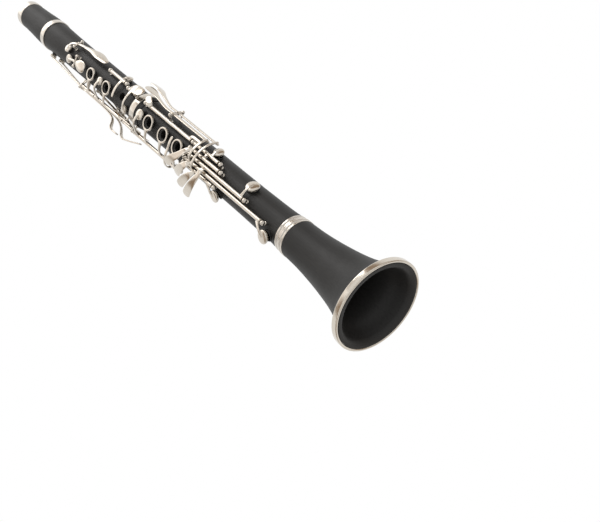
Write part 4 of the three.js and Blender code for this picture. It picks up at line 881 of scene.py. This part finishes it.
@dataclass
class HingeWork:
    """The rods between turned ball posts on which the keys swing."""

    ball: float = 2.2
    small_ball: float = 1.7
    stem: float = 1.0
    foot: float = 1.6
    rod: float = 0.85
    gap: float = 0.3
    spring: float = 0.42
    spring_drop: float = 1.25
    spring_reach: float = 26.0
    spring_under: float = 1.3
    spring_taper: float = 0.45
    screw_radius: float = 1.05
    screw_place: float = 2.12
    long_rods: tuple = (
        ("upper_ring_rod", UPPER_SIDE, 58, (0.028, 0.501)),
        ("thumb_ring_rod", UPPER, 140, (0.313, 0.441)),
        ("c_sharp_rod", UPPER, -38, (0.018, 0.09)),
        ("e_flat_rod", UPPER, -45, (0.126, 0.305)),
        ("lower_ring_rod", LOWER_SIDE, 62, (0.64, 0.988)),
        ("sliver_rod", LOWER_SIDE, 86, (0.661, 0.764)),
        ("low_e_rod", LOWER, 7, (0.072, 0.594)),
        ("low_f_rod", LOWER, 21, (0.379, 0.592)),
        ("a_flat_rod", LOWER, -7, (0.201, 0.592)),
        ("f_sharp_touch_rod", LOWER, -21, (0.379, 0.592)),
        ("f_sharp_rod", LOWER, -37, (0.412, 0.602, 0.959)),
    )
    cross_rods: tuple = (
        ("register_pivot", UPPER, -170, 0.632, 0.1, 2.7),
        ("a_key_pivot", UPPER, 3, 0.592, 0.0, 3.2),
        ("g_sharp_pivot", UPPER, -44, 0.671, 0.0, 2.7),
        ("upper_trill_pivot", UPPER_SIDE, *UPPER_TRILLS, TRILL_RISE, 3.25),
        ("lower_trill_pivot", UPPER_SIDE, *LOWER_TRILLS, TRILL_RISE, 3.25),
        ("lever_saddle", LOWER, SADDLE_AZIMUTH, SADDLE_SHARE, SADDLE_RISE, 5.0),
    )

    def post(self, joint: Joint, azimuth: float, radius: float, height: float,
             ball: float) -> Surface:
        """A post turned in one piece: foot, waisted stem, collar and ball."""
        foot = max(joint.radius_at(height - self.foot), joint.radius_at(height + self.foot))
        foot += self.gap
        rise = radius - foot
        start = math.asin(-0.72)
        neck = [(0.0, 0.0), (self.foot, 0.0), (self.foot, 0.25), (self.stem + 0.2, 0.6),
                (self.stem, 1.0), (self.stem * 0.92, rise * 0.45),
                (self.stem, rise - 1.12 * ball), (self.stem + 0.35, rise - 0.98 * ball),
                (self.stem + 0.3, rise - 0.88 * ball)]
        points = [*neck, *ball_outline(rise, ball, start, 10)[:-1].tolist(), (0.0, rise + ball)]
        return revolve(points, Turning.FINE, seat_on(azimuth, foot, height))

    def needle(self, joint: Joint, azimuth: float, start: float, end: float) -> Surface:
        """A needle spring: a thin tapered wire from its post, under the tube, to its free end."""
        share = np.linspace(0.0, 1.0, 9)
        radius = joint.axis - self.spring_under - self.spring_drop * share
        centre = around(azimuth, radius, start + (end - start) * share)
        wide = self.spring * (1.0 - self.spring_taper * share)
        angle = np.linspace(0.0, 2.0 * np.pi, 8, endpoint=False)
        side, out = around(azimuth + 90.0, 1.0, 0.0), around(azimuth, 1.0, 0.0)
        rows = centre[:, None] + wide[:, None, None] * (
            np.cos(angle)[None, :, None] * side + np.sin(angle)[None, :, None] * out)
        return closed_tube(rows)

    def screw(self, matrix: np.ndarray, way: int) -> Surface:
        """A rod's end: a low domed screw head on the outer side of its ball."""
        radius, along = self.screw_radius, way * self.screw_place
        points = rounded([(0.0, along - way * 1.2), (radius, along - way * 1.2), (radius, along),
                          (0.0, along + way * 0.12)], 0.2)
        return revolve(points, Turning.FINE, matrix)

    def build(self) -> None:
        """Builds each rod with its posts as one piece."""
        for name, joint, azimuth, shares in self.long_rods:
            heights = [joint.height(s) for s in shares]
            at = hinge_line(azimuth, joint.axis)
            low, high = min(heights), max(heights)
            parts = [revolve([(0, low), (self.rod, low), (self.rod, high), (0, high)],
                             Turning.FINE, at)]
            parts += [self.post(joint, azimuth, joint.axis, h, self.ball) for h in heights]
            parts += [self.screw(at @ shift_z(low), -1), self.screw(at @ shift_z(high), 1)]
            add_piece(f"{name}_steel", parts, PLATE, BODY, name)
            reach = min(self.spring_reach, 0.46 * (high - low))
            add_piece(f"{name}_springs", [self.needle(joint, azimuth, low, low + reach),
                                          self.needle(joint, azimuth, high, high - reach)],
                      SPRING, BODY)
        for name, joint, azimuth, share, rise, half in self.cross_rods:
            height, radius = joint.height(share), joint.axis + rise * joint.rise
            at = joint.pivot(azimuth, share, rise)
            reach = half + self.gap + self.small_ball
            turn = math.degrees(math.atan2(reach, radius))
            far = math.hypot(reach, radius)
            parts = [revolve([(0, -reach), (self.rod, -reach), (self.rod, reach), (0, reach)],
                             Turning.FINE, at)]
            parts += [self.post(joint, azimuth + s * turn, far, height, self.small_ball)
                      for s in (-1, 1)]
            add_piece(f"{name}_steel", parts, PLATE, BODY, name)


# Keys


@dataclass(frozen=True)
class Bar:
    """A flat arm, lever or touch: its table of stations and its stock."""

    table: tuple
    width: float = 1.3
    thickness: float = 0.75
    round_end: bool = False
    from_cup: str = ""
    at_rest: bool = False
    crown: float = 0.0

    def surface(self, joint: Joint, keywork: "Keywork") -> Surface:
        """The bar's surface, started over a cup where it says so."""
        stations = joint.stations(self.table, self.width)
        if self.from_cup:
            hole = HOLES[self.from_cup]
            start = [hole.azimuth, keywork.over(hole), hole.height, 1.3]
            stations = np.concatenate([[start], stations])
        return sweep(stations, self.thickness, self.round_end, self.crown)


@dataclass(frozen=True)
class Key:
    """A key: its node, body and hinge line, what it carries, and how far it stands open."""

    node: str
    body: str
    joint: Joint
    azimuth: float
    span: tuple[float, float] = (0.0, 0.0)
    lift: float = 0.0
    rings: tuple[str, ...] = ()
    cups: tuple[str, ...] = ()
    arms: tuple[tuple[str, float], ...] = ()
    bars: tuple[Bar, ...] = ()
    pivot: tuple[float, float, float] | None = None
    pad_node: str = ""


def touch(table: tuple, **more: object) -> Bar:
    """A finger's touch: wide, thin, round at its end and slightly crowned."""
    return Bar(table, 3.6, 0.6, True, **more)


@dataclass
class Keywork:
    """All the keys, with the stock sizes that they share."""

    gap: float = 0.3
    pad: float = 1.3
    cup_wall: float = 1.1
    cup_dome: float = 0.9
    cup_margin: float = 1.6
    ring_gap: float = 0.95
    ring_band: float = 1.6
    ring_height: float = 2.0
    tube: float = 1.72
    tube_collar: float = 1.88
    tube_bore: float = 1.15
    boss: float = 1.4
    arm_thickness: float = 0.75
    arm_end: float = 4.0
    arm_lift: float = 0.4
    ring_arm_widths: tuple = (3.1, 1.65, 1.5, 1.9)
    cup_arm_widths: tuple = (1.56, 1.3, 1.3, 1.69)
    keys: list[Key] = field(default_factory=list)

    def over(self, hole: Hole) -> float:
        """Radius of an arm's middle where it lies on a cup."""
        return hole.top + self.gap + self.pad + self.cup_wall + self.cup_dome / 2

    def cup(self, hole: Hole) -> Surface:
        """A cup: a thin wall with a rounded shoulder and a low dome, hollow below for its pad."""
        outer = hole.radius + self.cup_margin
        low, high = self.pad - 0.25, self.pad + self.cup_wall
        inner = outer - 0.45
        points = [(0.0, high - 0.5), (inner, high - 0.5), (inner, low), (outer, low),
                  (outer, high - 0.25), (outer * 0.93, high + 0.22), (outer * 0.7, high + 0.62),
                  (outer * 0.35, high + 0.84), (0.0, high + self.cup_dome)]
        return revolve(rounded(points, 0.3, 3), Turning.ROUND, hole.at(hole.top + self.gap))

    def pad_surface(self, hole: Hole) -> Surface:
        """A pad: a flat disc with a full round edge that swells a little below its cup."""
        outer = hole.radius + self.cup_margin - 0.5
        top = self.pad + self.cup_wall - 0.6
        points = [(0.0, 0.08), (outer * 0.5, 0.0), (outer - 0.5, 0.04), (outer, 0.5),
                  (outer, 1.0), (outer - 0.05, top), (0.0, top)]
        return revolve(rounded(points, 0.35, 4), Turning.ROUND, hole.at(hole.top + self.gap))

    def ring(self, hole: Hole) -> Surface:
        """A finger ring: a band with a rounded top edge."""
        outer = hole.radius + CHIMNEY_WALL + self.ring_gap + self.ring_band
        inner = outer - self.ring_band
        high = hole.top + SEAT_GAP
        low = high - self.ring_height
        points = rounded([(inner, low), (outer, low), (outer, high), (inner, high),
                          (inner, low)], 0.55, 5)
        return revolve(points, Turning.ROUND, hole.at())

    def ring_arm(self, hole: Hole, key: Key, share: float) -> Surface:
        """The arm from a ring's band, wide where it leaves the band, round to its hinge tube."""
        hinge = key.azimuth
        middle = hole.top + SEAT_GAP - self.ring_height / 2
        side = math.copysign(1.0, hinge - hole.azimuth)
        reach = hole.radius + CHIMNEY_WALL + self.ring_gap + self.ring_band / 2
        start = hole.azimuth + side * math.degrees(math.atan2(reach, middle))
        end = hinge - side * self.arm_end
        axis, height, foot = key.joint.axis, hole.height, hole.joint.height(share)
        rows = [(start, math.hypot(reach, middle), height),
                ((2 * start + end) / 3, (2 * middle + axis) / 3 + self.arm_lift,
                 (2 * height + foot) / 3),
                ((start + 2 * end) / 3, (middle + 2 * axis) / 3 + self.arm_lift,
                 (height + 2 * foot) / 3),
                (end, axis, foot)]
        return self.arm(rows, self.ring_arm_widths)

    def arm(self, rows: list, widths: tuple) -> Surface:
        """An arm through rows of azimuth, radius and height, as wide as its widths say."""
        return sweep(np.column_stack([rows, widths]), self.arm_thickness, False)

    def cup_arm(self, hole: Hole, key: Key, share: float) -> Surface:
        """The arm from the middle of a cup round to its hinge tube."""
        hinge = key.azimuth
        side = math.copysign(1.0, hole.azimuth - hinge)
        near = hinge + side * self.arm_end
        axis, height, foot = key.joint.axis, hole.height, hole.joint.height(share)
        top = self.over(hole)
        crown = max(top, axis)
        rows = [(hole.azimuth, top, height),
                ((2 * hole.azimuth + near) / 3, crown + self.arm_lift, (2 * height + foot) / 3),
                ((hole.azimuth + 2 * near) / 3, crown, (height + 2 * foot) / 3),
                (near, axis, foot)]
        return self.arm(rows, self.cup_arm_widths)

    def long_tube(self, key: Key) -> Surface:
        """A hinge tube along the joint with a low collar at each end."""
        low, high = (key.joint.height(s) for s in key.span)
        return self.tube_surface(low, high, hinge_line(key.azimuth, key.joint.axis))

    def tube_surface(self, low: float, high: float, at: np.ndarray) -> Surface:
        """A bored tube whose ends swell into collars."""
        collar = min(1.6, 0.3 * (high - low))
        points = [(self.tube_bore, low), (self.tube_collar, low), (self.tube_collar, low + collar),
                  (self.tube, low + collar + 0.25), (self.tube, high - collar - 0.25),
                  (self.tube_collar, high - collar), (self.tube_collar, high),
                  (self.tube_bore, high), (self.tube_bore, low)]
        return revolve(rounded(points, 0.15, 2), Turning.FINE, at)

    def cross_tube(self, key: Key) -> Surface:
        """The short boss on which a rocking key turns."""
        share, rise, offset = key.pivot
        at = key.joint.pivot(key.azimuth, share, rise)
        return self.tube_surface(offset - self.boss, offset + self.boss, at)

    def raised(self, key: Key) -> np.ndarray:
        """The matrix that opens a key about its long hinge by its lift."""
        angle = math.radians(key.lift)
        turn = np.eye(4)
        turn[:2, :2] = [[math.cos(angle), -math.sin(angle)], [math.sin(angle), math.cos(angle)]]
        centre = around(key.azimuth, key.joint.axis, 0.0)
        turn[:3, 3] = centre - turn[:3, :3] @ centre
        return turn

    def build_key(self, key: Key) -> None:
        """Builds one key's metal and its pads.

        Args:
            key: The key's table.
        """
        lift = self.raised(key)
        metal = [self.ring(HOLES[n]) for n in key.rings]
        metal += [self.ring_arm(HOLES[n], key, s) for n, s in key.arms if n in key.rings]
        metal += [self.cup(HOLES[n]) for n in key.cups]
        metal += [self.cup_arm(HOLES[n], key, s) for n, s in key.arms if n in key.cups]
        metal += [b.surface(key.joint, self) for b in key.bars if not b.at_rest]
        metal = [m.moved(lift) for m in metal]
        metal += [b.surface(key.joint, self) for b in key.bars if b.at_rest]
        metal.append(self.cross_tube(key) if key.pivot else self.long_tube(key))
        add_piece(f"{key.node}_metal", metal, PLATE, key.body, key.node)
        for name in key.cups:
            nodes = [key.pad_node] if key.pad_node else []
            add_piece(f"{name}_pad_skin", [self.pad_surface(HOLES[name]).moved(lift)], LEATHER,
                      key.body, *nodes)

    def build(self) -> None:
        """Builds every key in its table's order."""
        for key in self.keys:
            self.build_key(key)


def beside(joint: Joint, rise: float, turn: float) -> float:
    """How far along a pivot a lever lies that is turned by some degrees from its middle."""
    return (joint.axis + rise * joint.rise) * math.tan(math.radians(turn))


def trill(node: str, body: str, group: tuple[float, float], side: int, shares: tuple) -> Key:
    """A side key: a long lever from its cup over its pivot to a narrow touch.

    Args:
        node: The key's node.
        body: Its body, whose name its tone hole has too.
        group: The azimuth and the height share of the pivot that it shares.
        side: Which side of the pivot's middle it lies on, -1 or 1.
        shares: Rows of rise share, height share and width share, from the pivot to the touch.

    Returns:
        The key.
    """
    centre, pivot = group
    turn, rise = side * TRILL_TURN, TRILL_RISE
    at = centre + turn
    table = ((at, rise, pivot, 1), *((at, *row) for row in shares))
    return Key(node, body, UPPER_SIDE, centre, cups=(body,),
               pivot=(pivot, rise, beside(UPPER_SIDE, rise, turn)),
               bars=(Bar(table, TRILL_WIDTH, round_end=True, from_cup=body),))


def left_lever(node: str, body: str, side: int, paddle: float, rise: float, end: float,
               top: float) -> Key:
    """A left hand lever that rocks on the common saddle.

    Args:
        node: The lever's node.
        body: Its body.
        side: Which side of the saddle's middle it lies on, -1 or 1.
        paddle: The azimuth of its touch.
        rise: The rise share of its touch above the saddle.
        end: The height share of its lower end.
        top: The height share of its touch's end.

    Returns:
        The lever.
    """
    turn = side * SADDLE_TURN
    at = SADDLE_AZIMUTH + turn
    low, share = SADDLE_RISE, SADDLE_SHARE
    table = ((at, low, end, 0.4), (at, low, share, 0.42), (at, low, 0.86, 0.4),
             ((at + paddle) / 2, low + rise / 2, 0.93, 0.5), (paddle, low + rise, 0.995, 1.15),
             (paddle, low + rise, top, 1.15))
    return Key(node, body, LOWER, SADDLE_AZIMUTH, pivot=(share, low, beside(LOWER, low, turn)),
               bars=(touch(table),))


def narrow(table: tuple, **more: object) -> Bar:
    """A finger or tab of arm width and touch thickness."""
    return Bar(table, 1.3, 0.6, **more)


KEYS = [
    Key("first_finger_ring_key", "first_finger_ring", UPPER_SIDE, 58, (0.354, 0.484), -5,
        rings=("first",), arms=(("first", 0.419),)),
    Key("second_finger_ring_key", "second_finger_ring", UPPER_SIDE, 58, (0.045, 0.348), -5,
        rings=("second",), cups=("ring_pad",), arms=(("second", 0.245), ("ring_pad", 0.311)),
        bars=(narrow(((55, 0, 0.078, 1), (47, 0, 0.04, 1), (47, 0, -0.054, 1))),)),
    Key("thumb_ring_key", "thumb_ring", UPPER, 140, (0.331, 0.422), 5, rings=("thumb",),
        cups=("thumb_pad",), arms=(("thumb", 0.375),),
        bars=(Bar(((154, -0.05, 0.49, 1), (153, 0, 0.43, 1), (144, 0, 0.4, 1.2)),
                  from_cup="thumb_pad"),)),
    Key("register_key", "register_key", UPPER, -170, cups=("register",),
        pivot=(0.632, 0.1, 0.0),
        bars=(Bar(((-170, 0.1, 0.632, 0.4), (-170, 0.24, 0.59, 0.4), (-170, 0.3, 0.55, 0.75),
                   (-170, 0.24, 0.49, 1), (-170, 0.1, 0.452, 0.85)), 3.6, 0.75, True,
                  from_cup="register", crown=0.4),)),
    Key("a_key", "a_key", UPPER, 3, cups=("a_key",), pivot=(0.592, 0.0, 0.0),
        pad_node="a_key_pad",
        bars=(Bar(((3, 0, 0.592, 0.4), (3, 0.3, 0.565, 0.8), (3, 0.36, 0.53, 1.55),
                   (3, 0.3, 0.474, 1.5)), 3.6, 0.75, True, from_cup="a_key", crown=0.9),)),
    Key("g_sharp_key", "g_sharp_key", UPPER, -44, cups=("g_sharp",), pivot=(0.671, 0.0, 0.0),
        bars=(Bar(((-32, 0, 0.71, 1), (-44, 0, 0.671, 1), (-50, 0.24, 0.6, 1.1)),
                  from_cup="g_sharp"),
              touch(((-49, 0.2, 0.615, 0.4), (-53, 0.4, 0.54, 0.75), (-55, 0.44, 0.46, 1.35),
                     (-54, 0.3, 0.371, 0.8)), crown=0.6))),
    trill("first_trill_key", "first_trill", UPPER_TRILLS, -1,
          ((0.6, 0.2, 1.2), (2.5, 0.13, 1.6), (2.65, 0.055, 1.5))),
    trill("second_trill_key", "second_trill", UPPER_TRILLS, 1,
          ((0.5, 0.15, 1), (2.6, 0.05, 1.3), (2.5, 0, 1.5), (1.2, -0.12, 1.3))),
    trill("third_trill_key", "third_trill", LOWER_TRILLS, -1,
          ((0.6, 0.17, 1), (1.1, 0.12, 1.2), (1.2, 0.02, 1.2))),
    trill("fourth_trill_key", "fourth_trill", LOWER_TRILLS, 1,
          ((0.6, 0.17, 1), (1.1, 0.12, 1.2), (1.2, 0.02, 1.2))),
    Key("c_sharp_key", "c_sharp_key", UPPER, -38, (0.034, 0.074), cups=("c_sharp",),
        arms=(("c_sharp", 0.053),),
        bars=(touch(((-37, 0.15, 0.05, 0.6), (-40, 0.7, 0.045, 1.2), (-44, 0.96, 0.012, 1.5),
                     (-46, 0.95, -0.05, 1.35))),)),
    Key("e_flat_sliver_key", "e_flat_sliver", UPPER, -45, (0.142, 0.289), cups=("e_flat",),
        arms=(("e_flat", 0.18),),
        bars=(Bar(((-41, 0, 0.173, 1), (-24, -0.14, 0.173, 1), (-4, -0.24, 0.173, 1),
                   (17, -0.24, 0.173, 1)), 1.5, 0.6, True),)),
    Key("lower_ring_stack", "lower_rings", LOWER_SIDE, 62, (0.652, 0.976), -5,
        rings=("fourth", "fifth", "sixth"), cups=("stack_pad",),
        arms=(("fourth", 0.8765), ("fifth", 0.766), ("sixth", 0.6585), ("stack_pad", 0.941)),
        bars=(narrow(((57, 0.1, 0.947, 1), (47, 0.22, 0.966, 1), (47, 0.22, 1.028, 1))),)),
    Key("lower_sliver_key", "lower_sliver", LOWER_SIDE, 86, (0.673, 0.752), cups=("sliver",),
        arms=(("sliver", 0.712),),
        bars=(Bar(((82, 0.1, 0.712, 1), (74, 0.7, 0.712, 1), (61, 0.72, 0.712, 1),
                   (46, 0.15, 0.712, 1), (25, -0.62, 0.712, 1), (5, -0.74, 0.712, 1),
                   (-14, -0.74, 0.712, 1)), 1.5, 0.6, True),)),
    Key("low_e_key", "low_e_key", LOWER, 7, (0.084, 0.582), 13, cups=("low_e",),
        arms=(("low_e", 0.1),), pad_node="low_e_pad",
        bars=(touch(((8, 0.3, 0.541, 0.5), (16, 0.76, 0.55, 0.8), (38, 0.76, 0.585, 1.2),
                     (60, 0.68, 0.61, 1.15))),
              Bar(((4, 0.2, 0.552, 1.2), (-8, 0.85, 0.552, 1), (-34, 0.9, 0.552, 1),
                   (-60, 0.9, 0.552, 1)), at_rest=True))),
    Key("low_f_key", "low_f_key", LOWER, 21, (0.391, 0.58), 14, cups=("low_f",),
        arms=(("low_f", 0.422),), pad_node="low_f_pad",
        bars=(touch(((22, 0.3, 0.505, 0.5), (30, 0.8, 0.512, 0.75), (48, 1.15, 0.54, 1.15),
                     (69, 1.7, 0.572, 1.15))),
              Bar(((18, 0.2, 0.519, 1.2), (8, 0.85, 0.519, 1), (-20, 0.9, 0.519, 1),
                   (-48, 0.9, 0.519, 1), (-74, 0.9, 0.519, 1)), at_rest=True))),
    Key("a_flat_key", "a_flat_key", LOWER, -7, (0.213, 0.58), cups=("a_flat",),
        arms=(("a_flat", 0.227),), pad_node="a_flat_pad",
        bars=(touch(((-6, 0.3, 0.457, 0.5), (4, 0.9, 0.459, 0.7), (20, 1.1, 0.465, 0.8),
                     (42, 1.9, 0.485, 1.1), (66, 2.95, 0.516, 1.15))),)),
    Key("f_sharp_pad_key", "f_sharp_pad_key", LOWER, -37, (0.424, 0.588), -13,
        cups=("f_sharp",), arms=(("f_sharp", 0.477),), pad_node="f_sharp_leather_pad",
        bars=(narrow(((-37, 0.36, 0.488, 1), (-33, 0.6, 0.488, 1), (-27, 0.66, 0.488, 1))),
              narrow(((-40, 0.1, 0.571, 1.4), (-44, 0.2, 0.571, 1.4), (-47, 0.22, 0.571, 1.4))))),
    Key("f_sharp_touch_lever", "f_sharp_touch", LOWER, -21, (0.391, 0.58), 7,
        bars=(touch(((-20, 0.32, 0.565, 0.5), (-11, 0.74, 0.58, 0.65), (12, 0.85, 0.61, 0.9),
                     (32, 1.05, 0.648, 1.15), (45, 1.2, 0.666, 1.1))),
              narrow(((-23, 0.24, 0.488, 1), (-26, 0.28, 0.488, 1), (-30, 0.28, 0.488, 1))))),
    Key("left_f_sharp_lever", "left_f_sharp", LOWER, -37, (0.616, 0.946), -13,
        bars=(touch(((-37, 0.36, 0.914, 0.5), (-41, 0.6, 0.926, 0.75), (-47, 0.66, 0.946, 0.85),
                     (-53, 0.66, 0.962, 0.85))),
              narrow(((-40, 0.2, 0.63, 1), (-45, 0.54, 0.612, 1), (-46, 0.54, 0.563, 1))))),
    left_lever("left_e_lever", "left_e", 1, -72, 0.3, 0.546, 1.04),
    left_lever("left_f_lever", "left_f", -1, -91, 0.7, 0.513, 1.06),
]


@dataclass
class SmallWork:
    """The register tube, the thumb bushing and the thumb rest."""

    wall: float = 0.7
    register_low: float = 6.3
    bushing_low: float = 7.45
    bushing_rise: float = 0.4
    rest_half_width: float = 6.5
    rest_length: float = 26.0
    rest_thickness: float = 1.8
    hook_reach: float = 13.0

    def liner(self, name: str, hole: Hole, low: float, high: float) -> None:
        """A thin metal tube in a hole."""
        points = rounded([(hole.radius, low), (hole.radius + self.wall, low),
                          (hole.radius + self.wall, high), (hole.radius, high),
                          (hole.radius, low)], 0.2, 3)
        add_piece(f"{name}_metal", [revolve(points, Turning.SMALL, hole.at())], TURNED, BODY,
                  name)

    def thumb_rest(self) -> None:
        """A saddle plate with a hook that stands off it and turns down at its end."""
        middle, half = LOWER.height(0.62), self.rest_length / 2
        seat = LOWER.radius + 0.3 + self.rest_thickness / 2
        plate = sweep(np.array([
            [180, seat, middle + half, self.rest_half_width / 2],
            [180, seat, middle, self.rest_half_width * 0.71],
            [180, seat, middle - half, self.rest_half_width]]), self.rest_thickness / 2, False)
        foot = middle - half + self.rest_thickness
        share = np.linspace(0.0, 1.0, 17)
        drop = np.interp(share, [0, 0.35, 0.7, 1], [0, -0.05, -0.22, -0.5])
        centre = around(180.0, seat + share * self.hook_reach,
                        foot + drop * self.rest_thickness)
        wide = self.rest_half_width * (1 - 0.18 * share) * np.minimum(
            1.0, np.sqrt(np.maximum(1.02 - share, 0.0) * 6.0))
        shape = section(24, 3.0)
        rows = (centre[:, None]
                + around(270.0, 1.0, 0.0) * (shape[None, :, 0:1] * wide[:, None, None])
                + np.array([0.0, 0.0, self.rest_thickness / 2]) * shape[None, :, 1:2])
        hook = closed_tube(rows)
        screws = [revolve(rounded([(0, 0), (1.9, 0), (1.9, 0.5), (0, 0.75)], 0.3),
                          Turning.SMALL, seat_on(180, seat + 0.8, middle + z))
                  for z in (2.5, 9.0)]
        add_piece("thumb_rest_metal", [plate, hook, *screws], PLATE, BODY, "thumb_rest")

    def build(self) -> None:
        """Builds the two liners and the rest."""
        register, thumb = HOLES["register"], HOLES["thumb"]
        self.liner("register_tube", register, self.register_low, register.top)
        self.liner("thumb_bushing", thumb, self.bushing_low, thumb.top + self.bushing_rise)
        self.thumb_rest()


# Studio


@dataclass
class Studio:
    """Camera, pale floor, soft lamps and a white surround."""

    focal_px: float = 1128.6
    frame_px: float = 600.0
    sensor: float = 36.0
    roll: float = -16.5
    turn: tuple = ((0.61996, 0.50985, -0.59641), (-0.78297, 0.35247, -0.51257),
                   (-0.05112, 0.78474, 0.61771))
    shift: tuple = (59.2, 34.6, 852.8)
    floor_size: float = 6.0
    floor_hole: float = 0.041
    floor_sides: int = 64
    aim: tuple = (0.0, 0.0, 0.29)
    lamp_up: tuple = (0.3, 0.2, 1.0)
    lamps: tuple = (("key_lamp", (1.0, -0.9, 1.6), 7.5, 0.9),
                    ("fill_lamp", (-0.35, -1.5, 2.0), 5.5, 1.5),
                    ("overhead_lamp", (0.3, -0.4, 1.6), 3.0, 0.9))
    surround: float = 0.55
    front: tuple = (-0.27, 0.74, 0.62)
    walls: tuple = ((0.0, (1.0, 1.0, 1.0)), (0.34, (0.97, 0.96, 0.94)), (0.45, (0.30, 0.21, 0.14)),
                    (0.53, (0.32, 0.23, 0.15)), (0.64, (0.97, 0.96, 0.94)), (1.0, (1.0, 1.0, 1.0)))

    def camera(self) -> None:
        """Sets the camera by its turn and shift, which take the frame to the lens."""
        angle = math.radians(self.roll)
        spin = np.array([[math.cos(angle), -math.sin(angle), 0.0],
                         [math.sin(angle), math.cos(angle), 0.0], [0.0, 0.0, 1.0]])
        rows = np.array(self.turn) @ spin
        matrix = np.eye(4)
        matrix[:3, 0], matrix[:3, 1], matrix[:3, 2] = rows[0], -rows[1], -rows[2]
        matrix[:3, 3] = -rows.T @ np.array(self.shift) * MM
        data = bpy.data.cameras.new("photograph")
        data.sensor_width = self.sensor
        data.lens = self.focal_px * self.sensor / self.frame_px
        data.clip_start, data.clip_end = 0.01, 50.0
        camera = bpy.data.objects.new("photograph", data)
        camera.matrix_world = Matrix(matrix.tolist())
        bpy.context.scene.collection.objects.link(camera)
        bpy.context.scene.camera = camera

    def lamp(self, name: str, place: tuple, power: float, size: float) -> None:
        """A square soft lamp that faces the middle of the instrument."""
        data = bpy.data.lights.new(name, "AREA")
        data.energy, data.size = power, size
        lamp = bpy.data.objects.new(name, data)
        back = np.array(place) - np.array(self.aim)
        matrix = placement(place, back, np.cross(self.lamp_up, back))
        lamp.matrix_world = Matrix(matrix.tolist())
        bpy.context.scene.collection.objects.link(lamp)

    def floor(self) -> None:
        """A pale floor, open under the bell, that is solid from above and clear from below."""
        edge, hole, sides = self.floor_size, self.floor_hole, self.floor_sides
        ring = np.linspace(0.0, 2 * np.pi, sides, endpoint=False)
        inner = np.stack([hole * np.cos(ring), hole * np.sin(ring), 0 * ring], axis=1)
        outer = inner * edge / hole
        points = np.concatenate([inner, outer])
        index = np.arange(sides)
        following = (index + 1) % sides
        faces = np.stack([index, index + sides, following + sides, following], axis=1)
        mesh = bpy.data.meshes.new("floor")
        mesh.from_pydata(points.tolist(), [], faces.tolist())
        floor = bpy.data.objects.new("floor", mesh)
        bpy.context.scene.collection.objects.link(floor)
        material = bpy.data.materials.new("pale_floor")
        material.use_nodes = True
        tree = material.node_tree
        shader = tree.nodes["Principled BSDF"]
        shader.inputs["Base Color"].default_value = (0.86, 0.86, 0.86, 1.0)
        shader.inputs["Roughness"].default_value = 0.8
        clear = tree.nodes.new("ShaderNodeBsdfTransparent")
        mix = tree.nodes.new("ShaderNodeMixShader")
        side = tree.nodes.new("ShaderNodeNewGeometry").outputs["Backfacing"]
        tree.links.new(side, mix.inputs["Fac"])
        tree.links.new(shader.outputs["BSDF"], mix.inputs[1])
        tree.links.new(clear.outputs["BSDF"], mix.inputs[2])
        tree.links.new(mix.outputs["Shader"], tree.nodes["Material Output"].inputs["Surface"])
        mesh.materials.append(material)

    def world(self) -> None:
        """White for the camera, the same white with warm walls in reflections, and a soft light.

        A reflection that runs along the view or against it meets white. The walls lie across
        the view, and how brown they are follows the dot product of the ray and the view.
        """
        world = bpy.data.worlds.new("white_surround")
        bpy.context.scene.world = world
        world.use_nodes = True
        tree = world.node_tree
        tree.nodes.clear()
        place = tree.nodes.new("ShaderNodeTexCoord").outputs["Generated"]
        across = tree.nodes.new("ShaderNodeVectorMath")
        across.operation = "DOT_PRODUCT"
        across.inputs[1].default_value = self.front
        tree.links.new(place, across.inputs[0])
        walls = tree.nodes.new("ShaderNodeValToRGB")
        walls.color_ramp.interpolation = "EASE"
        while len(walls.color_ramp.elements) < len(self.walls):
            walls.color_ramp.elements.new(0.5)
        for element, (at, colour) in zip(walls.color_ramp.elements, self.walls):
            element.position, element.color = at, (*colour, 1.0)
        tree.links.new(ramp(tree, across.outputs["Value"], -1.0, 1.0, 0.0, 1.0),
                       walls.inputs["Fac"])
        rays = tree.nodes.new("ShaderNodeLightPath")
        out = tree.nodes.new("ShaderNodeOutputWorld")
        light = tree.nodes.new("ShaderNodeBackground")
        light.inputs["Strength"].default_value = self.surround
        light.inputs["Color"].default_value = (1.0, 0.99, 0.98, 1.0)
        shader = light.outputs[0]
        for kind in ("Is Glossy Ray", "Is Transmission Ray", "Is Camera Ray"):
            shown = tree.nodes.new("ShaderNodeBackground")
            shown.inputs["Strength"].default_value = 1.0
            shown.inputs["Color"].default_value = (1.0, 1.0, 1.0, 1.0)
            if kind == "Is Glossy Ray":
                tree.links.new(walls.outputs["Color"], shown.inputs["Color"])
            mix = tree.nodes.new("ShaderNodeMixShader")
            tree.links.new(rays.outputs[kind], mix.inputs["Fac"])
            tree.links.new(shader, mix.inputs[1])
            tree.links.new(shown.outputs[0], mix.inputs[2])
            shader = mix.outputs[0]
        tree.links.new(shader, out.inputs["Surface"])

    def build(self) -> None:
        """Sets up everything that isn't the instrument."""
        bpy.context.scene.view_settings.view_transform = "Standard"
        self.camera()
        for row in self.lamps:
            self.lamp(*row)
        self.floor()
        self.world()


def main() -> None:
    """Builds the instrument and the studio in order."""
    logging.basicConfig(level=logging.INFO, format="%(message)s")
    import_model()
    WoodenBody().build()
    MetalRings().build()
    HingeWork().build()
    Keywork(keys=KEYS).build()
    SmallWork().build()
    Studio().build()


if __name__ == "__main__":
    main()
